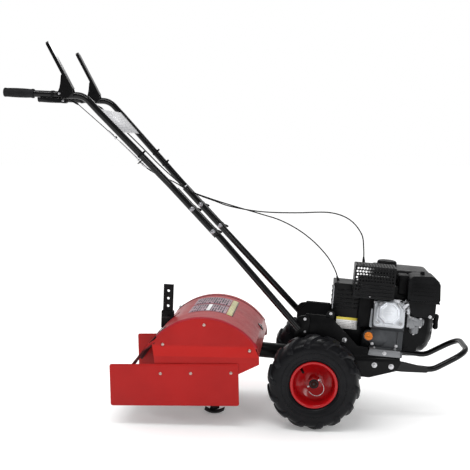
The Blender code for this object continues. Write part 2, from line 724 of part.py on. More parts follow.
def depth_stake():
    """The flat depth bar with its row of holes, sliding in a square sleeve on the hood."""
    lean = empty("stake_axis", (STAKE_TOP_X, 0, STAKE_TOP), (0, STAKE_LEAN, 0), MACHINE)
    stake = block("depth_stake", (STAKE_WIDTH, STAKE_THICK, STAKE_LENGTH),
                  (0, 0, -STAKE_LENGTH / 2), DARK_STEEL, lean)
    for index in range(6):
        hole = rod("stake_hole_%d" % index, 0.0055, 0.03, (0, 0, -0.0256 - 0.030 * index), ALONG_Y,
                   None, lean, 16, True)
        cut(stake, hole)
    wall, height = 0.004, 0.066
    sleeve = block("stake_bracket", (STAKE_WIDTH + 2 * wall + 2 * GAP, 0.026, height),
                   (0, 0, -0.105 - height / 2), BLACK, lean)
    slot = block("sleeve_slot", (STAKE_WIDTH + 2 * GAP, STAKE_THICK + 2 * GAP, 0.12),
                 (0, 0, -0.105 - height / 2), None, lean, cutter=True)
    cut(sleeve, slot)


TINE_SETS = {"inner": (0.0565, 3, 0.0), "outer": (0.180, 2, 112.0)}   # place, blades, turn
FOOT_LENGTH = 0.078


def rotor():
    axis = empty("rotor_axis", (ROTOR_X, 0, ROTOR_Z), (0, 0, 0), MACHINE)
    half, radius, gear_half = 0.236, 0.0125, 0.011
    profile = [(0, half), (radius, half), (radius, gear_half), (TINE_GEAR_RADIUS, gear_half),
               (TINE_GEAR_RADIUS, -gear_half), (radius, -gear_half), (radius, -half), (0, -half)]
    turned("tine_shaft", profile, False, STEEL, axis, (0, 0, 0), ALONG_Y, 32)
    for side, sign in SIDES.items():
        for place_name, (across, count, phase) in TINE_SETS.items():
            tine_set("tines_%s_%s" % (place_name, side), sign, across, count, phase, axis)


def tine_set(name, sign, across, count, phase, axis):
    """Curved flat blades round a hub, each with a foot bent outwards at its tip."""
    thickness = 0.006
    outline = []
    for index in range(count):
        turn = math.radians(-90 + phase + 360 * index / count)
        blade = [(0.033, 0.019), (0.075, 0.018), (0.120, 0.020), (0.158, 0.030),
                 (TINE_RADIUS - 0.002, 0.036)]
        lead = [(along, half) for along, half in blade]
        trail = [(TINE_RADIUS - 0.002, 0.006), (0.150, 0.000), (0.110, 0.010), (0.070, 0.018),
                 (0.033, 0.019)]
        for along, side in [(a, -s) for a, s in trail[::-1]] + [(a, s) for a, s in lead[::-1]]:
            outline.append((along * math.cos(turn) - side * math.sin(turn),
                            along * math.sin(turn) + side * math.cos(turn)))
    made = to_mesh_object(side_plate(name, [outline], thickness, sign * across, DARK_STEEL, axis))
    hub = rod(name + "_hub", 0.024, 0.034, (0, sign * across, 0), ALONG_Y, None, axis, 24, True)
    join(made, hub)
    for index in range(count):
        turn = math.radians(-90 + phase + 360 * index / count)
        reach, side = TINE_RADIUS - 0.003, 0.012
        centre = (reach * math.cos(turn) - side * math.sin(turn), sign * (across + 0.0165),
                  reach * math.sin(turn) + side * math.cos(turn))
        foot = block("%s_foot_%d" % (name, index), (FOOT_LENGTH, 0.037, 0.0055), centre, None,
                     axis, (0, -turn - math.pi / 2, 0), True)
        join(made, foot)
    hole = rod(name + "_bore", 0.0128, 0.06, (0, sign * across, 0), ALONG_Y, None, axis, 24, True)
    cut(made, hole)


# Handlebar -----------------------------------------------------------------------------------

LOWER_Y, UPPER_Y = 0.1125, 0.1390


def along_bar(x):
    """Height of the straight stretch of the handlebar at a place along the machine."""
    slope = (1.213 - 0.698) / (-0.846 + 0.366)
    return 0.698 + (x + 0.366) * slope


def handle_tubes():
    for side, sign in SIDES.items():
        lower = [(-0.056, 0.166, 0.3545), (-0.335, LOWER_Y + 0.004, 0.664),
                 (-0.380, LOWER_Y, FOLD_Z), (-0.522, LOWER_Y, along_bar(-0.522))]
        tube("handle_lower_" + side, [(x, sign * y, z) for x, y, z in filleted(lower, 0.15, 3)],
             TUBE_RADIUS, BLACK, MACHINE, TUBE_WALL)
        upper = [(-0.366, UPPER_Y, 0.698), (-0.540, UPPER_Y, along_bar(-0.540)),
                 (-0.790, 0.203, along_bar(-0.790)), (-0.846, GRIP_Y, 1.213),
                 (-1.140, GRIP_Y, 1.2275)]
        path = filleted(upper[:3], 0.12, 3)[:-1] + filleted(upper[2:], 0.07, 5)
        tube("handle_upper_" + side, [(x, sign * y, z) for x, y, z in path], TUBE_RADIUS, BLACK,
             MACHINE, TUBE_WALL)
        grip(side, sign)


def grip(side, sign):
    slope = math.atan2(1.2275 - 1.213, 1.140 - 0.846)
    bore, length = TUBE_RADIUS + GAP, 0.112
    profile = [(0, 0.002), (0.0135, 0.002), (0.0165, -0.001), (0.0170, -length + 0.006),
               (0.0190, -length + 0.004), (0.0190, -length), (bore, -length), (bore, -0.0022),
               (0, -0.0022)]
    turned("grip_" + side, profile, False, GRIP_RUBBER, MACHINE, (-1.144, sign * GRIP_Y, 1.2277),
           (0, -math.pi / 2 + slope, 0), 24)


def lever_point(share, ahead):
    """A place from the lever's pivot: a share of the way up its bar, and ahead of its middle."""
    foot = (-0.883 - LEVER_X, 1.225 - LEVER_Z)
    tip = (-0.980 - LEVER_X, 1.412 - LEVER_Z)
    length = math.dist(foot, tip)
    along = ((tip[0] - foot[0]) / length, (tip[1] - foot[1]) / length)
    reach = share * length
    return (foot[0] + along[0] * reach + along[1] * ahead,
            foot[1] + along[1] * reach - along[0] * ahead)


def levers():
    """Two upright squeeze levers: a bar, and two cheeks that straddle the tube at the pivot."""
    half, web, width, fold = 0.0055, 0.0029, 0.036, 0.0026
    bar = [lever_point(0.055, half), lever_point(0.055, -half), lever_point(0.985, -half),
           lever_point(1.005, -0.6 * half), lever_point(1.005, 0.4 * half),
           lever_point(0.978, half)]
    inside = [lever_point(-0.05, half - web), lever_point(-0.05, -3 * half),
              lever_point(1.04, -3 * half), lever_point(0.975, half - web)]
    cheek = [(-0.950, 1.214), (-0.9465, 1.236), (-0.934, 1.256), (-0.929, 1.300), (-0.922, 1.302),
             (-0.885, 1.234), (-0.880, 1.206), (-0.905, 1.203)]
    outline = [(x - LEVER_X, z - LEVER_Z) for x, z in cheek]
    for side, sign in SIDES.items():
        hinge = empty("lever_axis_" + side, (LEVER_X, sign * GRIP_Y, LEVER_Z), (0, 0, 0), MACHINE)
        made = to_mesh_object(side_plate("lever_" + side, [bar], width, 0, BLACK, hinge))
        channel = side_plate("channel_" + side, [inside], width - 2 * fold, 0, None, hinge, True)
        cut(made, to_mesh_object(channel, cutter=True))
        for index, across in enumerate((-0.0158, 0.0158)):
            wall = side_plate("cheek_%s_%d" % (side, index), [outline], 0.0030, across, None, hinge,
                              True)
            join(made, to_mesh_object(wall, cutter=True))


def under_lever():
    pivot = (-0.922, 1.1945)
    hinge = empty("under_lever_axis", (pivot[0], -GRIP_Y, pivot[1]), (0, 0, 0), MACHINE)
    points = [(-1.012, 1.2085), (-1.011, 1.2025), (-0.975, 1.1955), (-0.935, 1.1875),
              (-0.914, 1.1855), (-0.906, 1.190), (-0.908, 1.199), (-0.925, 1.2035)]
    outline = [(x - pivot[0], z - pivot[1]) for x, z in points]
    side_plate("under_lever", [outline], 0.018, 0, BLACK_PLASTIC, hinge)


def instruction_panel():
    rear, front, rear_half, front_half = -0.798, -0.719, 0.189, 0.1685
    lift, wall = 0.004, 0.0025
    middle = ((rear + front) / 2, 0, (along_bar(rear) + along_bar(front)) / 2 + lift)
    half = math.hypot(front - rear, along_bar(front) - along_bar(rear)) / 2
    slope = math.atan2(along_bar(front) - along_bar(rear), front - rear)
    outline = [(-half, -rear_half), (half, -front_half), (half, front_half), (-half, rear_half)]
    curve = flat_curve("instruction_panel", [outline], wall)
    place("instruction_panel", curve, PANEL_WHITE, MACHINE, middle, (0, -slope, 0))


BRACKET_X, BRACKET_Y, BRACKET_Z = -0.648, -0.166, 0.972
CLUTCH_ROUTE = [(-0.873, -0.186, 1.183), (-0.790, -0.184, 1.110), (-0.716, -0.176, 1.042),
                (-0.668, -0.168, 0.994), (BRACKET_X, BRACKET_Y, BRACKET_Z),
                (-0.627, -0.158, 0.951), (-0.590, -0.110, 0.921), (-0.552, 0.000, 0.893),
                (-0.515, 0.045, 0.866), (-0.470, 0.062, 0.843), (-0.357, 0.056, 0.806),
                (-0.211, 0.030, 0.766), (-0.137, 0.018, 0.744),
                (-0.068, 0.004, 0.710), (-0.012, 0.0, 0.669), (0.030, -0.008, 0.628),
                (0.058, -0.012, 0.592), (0.080, -0.020, 0.550), (0.089, -0.028, 0.5195)]
THROTTLE_ROUTE = [(-0.873, 0.182, 1.183), (-0.790, 0.180, 1.104), (-0.700, 0.150, 1.022),
                  (-0.620, 0.110, 0.950), (-0.555, 0.092, 0.895), (-0.507, 0.088, 0.858),
                  (-0.459, 0.087, 0.834), (-0.400, 0.086, 0.813), (-0.346, 0.084, 0.794),
                  (-0.274, 0.076, 0.780), (-0.209, 0.060, 0.773), (-0.138, 0.044, 0.771),
                  (-0.060, 0.018, 0.773), (0.055, -0.030, 0.778), (0.128, -0.068, 0.755), (0.172, -0.098, 0.704),
                  (0.180, -0.113, 0.650), (0.180, -0.122, 0.6045)]


def cables():
    tube("clutch_cable", smooth_path(CLUTCH_ROUTE, 0.033), 0.0026, CABLE_JACKET, MACHINE)
    tube("throttle_cable", smooth_path(THROTTLE_ROUTE, 0.033), 0.0026, CABLE_JACKET, MACHINE)


def cable_bracket():
    """The tab under the right bar, drilled for the clutch cable's adjuster."""
    lean = math.atan2(along_bar(-0.1) - along_bar(0.0), 0.1)
    seat = empty("bracket_seat", (BRACKET_X, BRACKET_Y, BRACKET_Z), (0, lean, 0), MACHINE)
    below, above = 0.0100, 0.0068
    tab = block("cable_bracket", (0.003, 0.022, below + above),
                (0, 0, (above - below) / 2), BLACK, seat)
    hole = rod("adjuster_hole", 0.0050, 0.02, (0, 0, 0), ALONG_X, None, seat, 12, True)
    cut(tab, hole)


# Build ---------------------------------------------------------------------------------------

wheel_axle()
gearbox_housing()
drive_boom()
tine_gearcase()
drive_shaft()
belt_drive()
frame_plates()
frame_decks()
front_bumper()
belt_cover()
crankcase()
crankshaft()
cylinder_head()
fan_housing()
starter_grip()
air_cleaner()
fuel_tank()
muffler_guard()
carburettor()
oil_cap()
hood_sides()
hood_top()
side_boards()
rear_flap()
depth_stake()
rotor()
handle_tubes()
levers()
under_lever()
instruction_panel()
cables()
cable_bracket()
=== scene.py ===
import math

import bmesh
import bpy
from mathutils import Matrix, Vector


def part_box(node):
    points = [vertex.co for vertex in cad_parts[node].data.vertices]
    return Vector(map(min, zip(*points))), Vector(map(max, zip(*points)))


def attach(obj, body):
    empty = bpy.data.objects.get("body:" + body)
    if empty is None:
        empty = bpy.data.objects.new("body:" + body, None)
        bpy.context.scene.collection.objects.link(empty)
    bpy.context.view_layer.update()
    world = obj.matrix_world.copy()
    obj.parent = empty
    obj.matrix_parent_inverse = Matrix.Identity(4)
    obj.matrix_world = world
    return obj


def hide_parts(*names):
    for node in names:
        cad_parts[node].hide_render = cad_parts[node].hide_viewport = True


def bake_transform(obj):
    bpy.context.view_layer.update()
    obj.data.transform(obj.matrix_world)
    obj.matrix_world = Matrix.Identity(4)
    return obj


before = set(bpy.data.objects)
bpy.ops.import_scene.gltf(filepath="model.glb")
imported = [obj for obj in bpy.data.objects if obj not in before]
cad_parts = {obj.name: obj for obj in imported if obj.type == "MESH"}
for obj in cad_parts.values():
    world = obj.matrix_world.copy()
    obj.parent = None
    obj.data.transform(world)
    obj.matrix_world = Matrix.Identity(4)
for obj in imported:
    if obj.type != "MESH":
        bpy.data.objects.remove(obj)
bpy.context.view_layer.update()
scene = bpy.context.scene

# Frames shared with the CAD -------------------------------------------------------------------

AXLE_X, AXLE_Z = 0.2825, 0.172
ROTOR_X, ROTOR_Z = -0.395, 0.175
HOOD_X, HOOD_Z, HOOD_RADIUS = -0.406, 0.171, 0.24


def move(x=0.0, y=0.0, z=0.0):
    return Matrix.Translation((x, y, z))


def turn(degrees, axis):
    return Matrix.Rotation(math.radians(degrees), 4, axis)


MACHINE = move(AXLE_X)
CHASSIS = move(AXLE_X, 0, AXLE_Z) @ turn(4.5, "Y")
TILLER = move(AXLE_X + ROTOR_X, 0, ROTOR_Z) @ turn(-1.2, "Y")
HOOD = move(AXLE_X + HOOD_X, 0, HOOD_Z)
STAKE = move(AXLE_X - 0.5715, 0, 0.489) @ turn(2.4, "Y")
SIDEWAYS = turn(90, "X")                  # an outline in X and Z; the local +Z looks to -Y
ENDWAYS = turn(90, "Z") @ turn(90, "X")   # an outline in Y and Z; the local +Z looks to +X
ALONG_X = turn(90, "Y")
SIDES = {"right": -1, "left": 1}


def outward(sign):
    """Turns the local +Z to the outside of the machine's right (-1) or left (1) side."""
    return turn(-90 * sign, "X")


def facing(x, y, z, sign=-1):
    """A seat at a place with its local +Z to the outside."""
    return move(x, y, z) @ outward(sign)


def add_object(name, data):
    obj = bpy.data.objects.new(name, data)
    scene.collection.objects.link(obj)
    return obj


def bevel_edges(obj, width, segments, angle):
    edge = obj.modifiers.new("bevel", "BEVEL")
    edge.width = width
    edge.segments = segments
    edge.limit_method = "ANGLE"
    edge.angle_limit = math.radians(angle)
    edge.harden_normals = True


def add_node(tree, kind, inputs=None, **settings):
    """A shader node; an input is a value or another node's socket."""
    made = tree.nodes.new("ShaderNode" + kind)
    for name, value in settings.items():
        setattr(made, name, value)
    for key, value in (inputs or {}).items():
        if isinstance(value, bpy.types.NodeSocket):
            tree.links.new(value, made.inputs[key])
        else:
            made.inputs[key].default_value = value
    return made


# Camera ---------------------------------------------------------------------------------------

camera_data = bpy.data.cameras.new("camera")
camera = add_object("camera", camera_data)
camera_data.sensor_width = 36.0
camera_data.lens = 68.17
camera.location = (AXLE_X, -3.428, 1.034)
camera.rotation_euler = (math.radians(90 - 5.774), 0, math.radians(5.174))
scene.camera = camera

# Materials ------------------------------------------------------------------------------------


class Look:
    """A node material with short ways to add and link nodes."""

    def __init__(self, name, colour=(0.5, 0.5, 0.5), roughness=0.5, metallic=0.0, **sockets):
        self.material = bpy.data.materials.new(name)
        self.material.use_nodes = True
        self.tree = self.material.node_tree
        self.shader = self.tree.nodes["Principled BSDF"]
        self.set("Base Color", (*colour, 1.0))
        self.set("Roughness", roughness)
        self.set("Metallic", metallic)
        for socket, value in sockets.items():
            self.set(socket.replace("_", " "), value)
        self.place = self.node("TexCoord").outputs["Object"]

    def set(self, socket, value):
        if isinstance(value, bpy.types.NodeSocket):
            self.tree.links.new(value, self.shader.inputs[socket])
        else:
            self.shader.inputs[socket].default_value = value

    def node(self, kind, inputs=None, **settings):
        return add_node(self.tree, kind, inputs, **settings)

    def math(self, operation, a, b=0.0, c=0.0):
        return self.node("Math", {0: a, 1: b, 2: c}, operation=operation).outputs[0]

    def noise(self, scale, detail=3.0, roughness=0.5, place=None):
        return self.node("TexNoise", {"Vector": place or self.place, "Scale": scale,
            "Detail": detail, "Roughness": roughness}).outputs["Fac"]

    def stretched(self, x, y, z):
        return self.node("Mapping", {"Vector": self.place, "Scale": (x, y, z)}).outputs[0]

    def spread(self, value, low, high, start=0.3, end=0.7):
        return self.node("MapRange", {"Value": value, "From Min": start, "From Max": end,
            "To Min": low, "To Max": high}).outputs[0]

    def blend(self, share, first, second):
        mix = self.node("Mix", {0: share}, data_type="RGBA")
        for socket, value in ((6, first), (7, second)):
            if isinstance(value, bpy.types.NodeSocket):
                self.tree.links.new(value, mix.inputs[socket])
            else:
                mix.inputs[socket].default_value = (*value, 1.0)
        return mix.outputs[2]

    def bump(self, height, strength, distance=0.001):
        made = self.node("Bump", {"Height": height, "Strength": strength,
            "Distance": distance}).outputs[0]
        self.set("Normal", made)

    def edges(self, low=0.52, high=0.62):
        """A mask of the convex edges."""
        point = self.node("NewGeometry").outputs["Pointiness"]
        return self.spread(point, 0.0, 1.0, low, high)

    def mottled(self, scale, first, second, detail=4.0, roughness=0.6):
        """Two colours mixed in soft clouds."""
        return self.blend(self.spread(self.noise(scale, detail, roughness), 0.0, 1.0), first,
            second)

    def gloss(self, low, high, scale, detail=4.0, roughness=0.5):
        """Roughness that wanders between two values."""
        self.set("Roughness", self.spread(self.noise(scale, detail, roughness), low, high))


def darker(colour, share):
    return tuple(part * share for part in colour)


def lighter(colour, share, added):
    return tuple(min(1.0, part * share + added) for part in colour)


def paint(name, colour, roughness, coat=0.4, worn=None, peel=650.0, dust=0.86, specular=0.15):
    """Powder coat: orange peel, uneven gloss, slight dust, and a lighter line where edges wear."""
    look = Look(name, colour, roughness, Coat_Weight=coat, Coat_Roughness=0.12,
        Specular_IOR_Level=specular)
    tone = look.mottled(7.0, darker(colour, dust), colour)
    if worn:
        grain = look.noise(160.0, 3.0, 0.7)
        mask = look.math("MULTIPLY", look.edges(0.56, 0.7), look.spread(grain, 0.0, 1.0, 0.4, 0.6))
        tone = look.blend(mask, tone, worn)
    look.set("Base Color", tone)
    look.gloss(roughness - 0.06, roughness + 0.08, 22.0, 4.0, 0.6)
    look.bump(look.noise(peel, 2.0), 0.05, 0.0006)
    return look.material


def moulded(name, colour, roughness, grain=1400.0, strength=0.12, specular=0.1):
    """Moulded plastic: fine spark-eroded grain, patchy gloss and faint dust."""
    look = Look(name, colour, roughness, Specular_IOR_Level=specular)
    look.set("Base Color", look.mottled(11.0, darker(colour, 0.8), lighter(colour, 1.25, 0.002)))
    look.gloss(roughness - 0.07, roughness + 0.1, 35.0, 3.0)
    look.bump(look.noise(grain, 1.0), strength, 0.0004)
    return look.material


def rubber(name, colour, roughness=0.75, scale=260.0):
    """Moulded rubber: bloom and dust in soft clouds, and a painted sheen: a lighter colour on
    raised edges.
    """
    look = Look(name, colour, roughness, Specular_IOR_Level=0.15, Sheen_Weight=0.01,
        Sheen_Roughness=0.5)
    worn = look.blend(look.spread(look.noise(18.0, 5.0, 0.65), 0.0, 1.0, 0.35, 0.7), colour,
        lighter(colour, 1.7, 0.002))
    # Painted sheen: the raised edges get a lighter colour.
    look.set("Base Color", look.blend(look.edges(0.53, 0.66), worn, lighter(colour, 2.2, 0.003)))
    look.gloss(roughness - 0.12, roughness + 0.1, 40.0)
    look.bump(look.noise(scale, 4.0, 0.6), 0.18, 0.0006)
    return look.material


def casting(name, colour, roughness, metallic, grain=330.0, strength=0.25):
    """Sand- or die-cast metal under thin paint: pitted grain and brighter rubbed edges."""
    look = Look(name, colour, roughness, metallic)
    pits = look.noise(grain, 4.0, 0.7)
    tone = look.mottled(16.0, darker(colour, 0.78), colour)
    look.set("Base Color", look.blend(look.math("MULTIPLY", look.edges(), 0.5), tone,
        lighter(colour, 1.5, 0.05)))
    look.set("Roughness", look.spread(pits, roughness - 0.08, roughness + 0.12))
    look.bump(pits, strength, 0.0006)
    return look.material


def metal(name, colour, roughness, streak=(40.0, 40.0, 900.0), stain=0.7):
    """Plated or bare steel: drawn streaks, patchy brightness."""
    look = Look(name, colour, roughness, 1.0)
    lines = look.noise(1.0, 3.0, 0.6, look.stretched(*streak))
    look.set("Base Color", look.mottled(60.0, darker(colour, stain), colour, 4.0, 0.7))
    look.set("Roughness", look.spread(lines, roughness - 0.08, roughness + 0.14))
    look.bump(lines, 0.08, 0.0003)
    return look.material


def printed(name, paper, ink, rows, words, header=None, header_from=0.8, gaps=0.42):
    """A label with generic lines of ink in rows, and a plain coloured header band."""
    look = Look(name, paper, 0.38, Specular_IOR_Level=0.2)
    uv = look.node("UVMap", uv_map="label").outputs[0]
    parts = look.node("SeparateXYZ", {0: uv})
    across, up = parts.outputs[0], parts.outputs[1]
    line = look.math("MULTIPLY", up, float(rows))
    inside = look.math("COMPARE", look.math("FRACT", line), 0.5, gaps / 2)
    row = look.math("FLOOR", line)
    place = look.node("CombineXYZ", {0: look.math("MULTIPLY", across, float(words)),
        1: look.math("MULTIPLY", row, 7.31)}).outputs[0]
    broken = look.math("GREATER_THAN", look.noise(1.0, 1.0, 0.5, place), 0.42)
    margin = look.math("MULTIPLY", look.math("COMPARE", across, 0.5, 0.46),
        look.math("COMPARE", up, 0.5, 0.46))
    mask = look.math("MULTIPLY", look.math("MULTIPLY", inside, broken), margin)
    tone = look.blend(mask, paper, ink)
    if header:
        tone = look.blend(look.math("GREATER_THAN", up, header_from), tone, header)
    look.set("Base Color", tone)
    look.gloss(0.32, 0.46, 60.0, 3.0)
    look.bump(look.noise(500.0), 0.03, 0.0003)
    return look.material


RED = (0.385, 0.0095, 0.0085)
BLACK = (0.0032, 0.0033, 0.0038)
red_paint = paint("red_powder_coat", RED, 0.36, 0.05, worn=(0.5, 0.09, 0.07))
# Partly painted sheen: the hood's red carries a bluish tint that stands in for the colour of its
# grazing sheen.
hood_paint = paint("red_hood_coat_and_painted_sheen_tint", (0.34, 0.012, 0.022), 0.36, 0.16, worn=(0.5, 0.09, 0.07),
    peel=900.0)
# Painted shade: a dark maroon for the flap's edges and the hood's far seam, which lie in shade.
flap_shade = paint("flap_underside_painted_shade", (0.06, 0.006, 0.008), 0.45, 0.0)
rim_paint = paint("rim_red_gloss", (0.4, 0.0045, 0.007), 0.14, 0.45, peel=500.0)
black_paint = paint("black_powder_coat", BLACK, 0.32, 0.04, worn=(0.03, 0.03, 0.032), dust=0.8,
    specular=0.12)
matte_paint = paint("black_matte_coat", (0.0055, 0.0055, 0.006), 0.85, 0.0, dust=0.7, specular=0.0)
tube_paint = paint("black_tube_gloss", (0.002, 0.002, 0.0024), 0.14, 0.4, dust=0.8, specular=0.1)
black_plastic = moulded("black_moulding", (0.0034, 0.0035, 0.004), 0.42)
cover_plastic = moulded("engine_cover_moulding", (0.003, 0.0032, 0.0038), 0.34, 1100.0, 0.16)
tank_paint = paint("tank_gloss_black", (0.0045, 0.0045, 0.0052), 0.3, 0.03, peel=500.0)
tyre_rubber = rubber("tyre_rubber", (0.0022, 0.0023, 0.0032), 0.36)
grip_rubber = rubber("grip_rubber", (0.006, 0.006, 0.0068), 0.6, 420.0)
belt_rubber = rubber("belt_rubber", (0.006, 0.006, 0.0062), 0.7)
cable_jacket = moulded("cable_sheath", (0.0035, 0.0035, 0.004), 0.35, 900.0, 0.05)
dark_casting = casting("dark_casting", (0.018, 0.019, 0.021), 0.5, 0.3)
engine_casting = casting("engine_casting", (0.06, 0.064, 0.07), 0.42, 0.55)
dull_casting = casting("dull_die_casting", (0.2, 0.205, 0.215), 0.38, 0.8, 420.0, 0.2)
silver_casting = casting("silver_die_casting", (0.6, 0.62, 0.66), 0.4, 0.75, 420.0, 0.15)
cover_casting = casting("rocker_cover_paint", (0.72, 0.75, 0.8), 0.34, 0.35, 700.0, 0.05)
zinc = metal("zinc_plate", (0.62, 0.63, 0.66), 0.3)
bolt_zinc = metal("bolt_zinc", (0.66, 0.66, 0.68), 0.26, (300.0, 300.0, 300.0))
dull_zinc = metal("bolt_dull_zinc", (0.36, 0.36, 0.38), 0.32, (300.0, 300.0, 300.0))
warm_zinc = metal("bolt_yellow_zinc", (0.62, 0.47, 0.42), 0.28, (300.0, 300.0, 300.0))
dark_steel = metal("dark_steel", (0.055, 0.055, 0.058), 0.5, stain=0.6)
hub_brown = metal("hub_brown_steel", (0.045, 0.016, 0.013), 0.45, stain=0.5)
tine_steel = casting("forged_tine_steel", (0.02, 0.02, 0.022), 0.5, 0.6, 200.0, 0.3)
orange_plastic = moulded("oil_cap_orange", (0.66, 0.2, 0.03), 0.42, 800.0, 0.1)
panel_grey = moulded("panel_grey", (0.48, 0.48, 0.49), 0.4, 500.0, 0.04, 0.3)
plug_plastic = moulded("plug_grey", (0.55, 0.56, 0.58), 0.45, 500.0, 0.04, 0.3)

# Shapes ---------------------------------------------------------------------------------------


def mm(*points):
    """Points written in millimetres."""
    return [tuple(value / 1000 for value in point) for point in points]


def arc(centre, radius, start, end, count):
    step = (end - start) / count
    return [(centre[0] + radius * math.cos(math.radians(start + step * index)),
        centre[1] + radius * math.sin(math.radians(start + step * index)))
        for index in range(count + 1)]


def circle(centre, radius, count=16):
    return arc(centre, radius, 0, 360 - 360 / count, count - 1)


def softened(outline, radius, count=4):
    """A closed outline with its corners rounded."""
    result = []
    size = len(outline)
    for index, corner in enumerate(outline):
        corner = Vector(corner)
        before, after = Vector(outline[index - 1]), Vector(outline[(index + 1) % size])
        into, out = before - corner, after - corner
        reach = min(radius, 0.45 * into.length, 0.45 * out.length)
        start, end = corner + into.normalized() * reach, corner + out.normalized() * reach
        for step in range(count + 1):
            share = step / count
            result.append(tuple(start.lerp(corner, share).lerp(corner.lerp(end, share), share)))
    return result


def rectangle(width, height):
    return [(-width / 2, -height / 2), (width / 2, -height / 2), (width / 2, height / 2),
        (-width / 2, height / 2)]


def filleted(points, radius, count=8):
    """The corners of an open 3D path rounded off."""
    path = [Vector(point) for point in points]
    result = [path[0]]
    for before, corner, after in zip(path, path[1:], path[2:]):
        into, out = (before - corner).normalized(), (after - corner).normalized()
        reach = min(radius / math.tan(into.angle(out) / 2), 0.45 * (before - corner).length,
            0.45 * (after - corner).length)
        start, end = corner + into * reach, corner + out * reach
        for index in range(count + 1):
            share = index / count
            result.append(start.lerp(corner, share).lerp(corner.lerp(end, share), share))
    result.append(path[-1])
    return result


def smooth_path(points, spacing):
    """A Catmull-Rom curve through the route's own points, at an even spacing."""
    route = [Vector(point) for point in points]
    ends = [2 * route[0] - route[1]] + route + [2 * route[-1] - route[-2]]
    fine = []
    for a, b, c, d in zip(ends, ends[1:], ends[2:], ends[3:]):
        for index in range(24):
            t = index / 24
            fine.append(0.5 * (2 * b + (c - a) * t + (2 * a - 5 * b + 4 * c - d) * t * t
                + (3 * b - a - 3 * c + d) * t ** 3))
    fine.append(route[-1])
    length = sum((q - p).length for p, q in zip(fine, fine[1:]))
    count = max(2, round(length / spacing))
    result, walked, target = [fine[0]], 0.0, length / count
    for p, q in zip(fine, fine[1:]):
        step = (q - p).length
        while walked + step >= target - 1e-9 and len(result) < count:
            result.append(p.lerp(q, (target - walked) / step))
            target += length / count
        walked += step
    result.append(fine[-1])
    return result


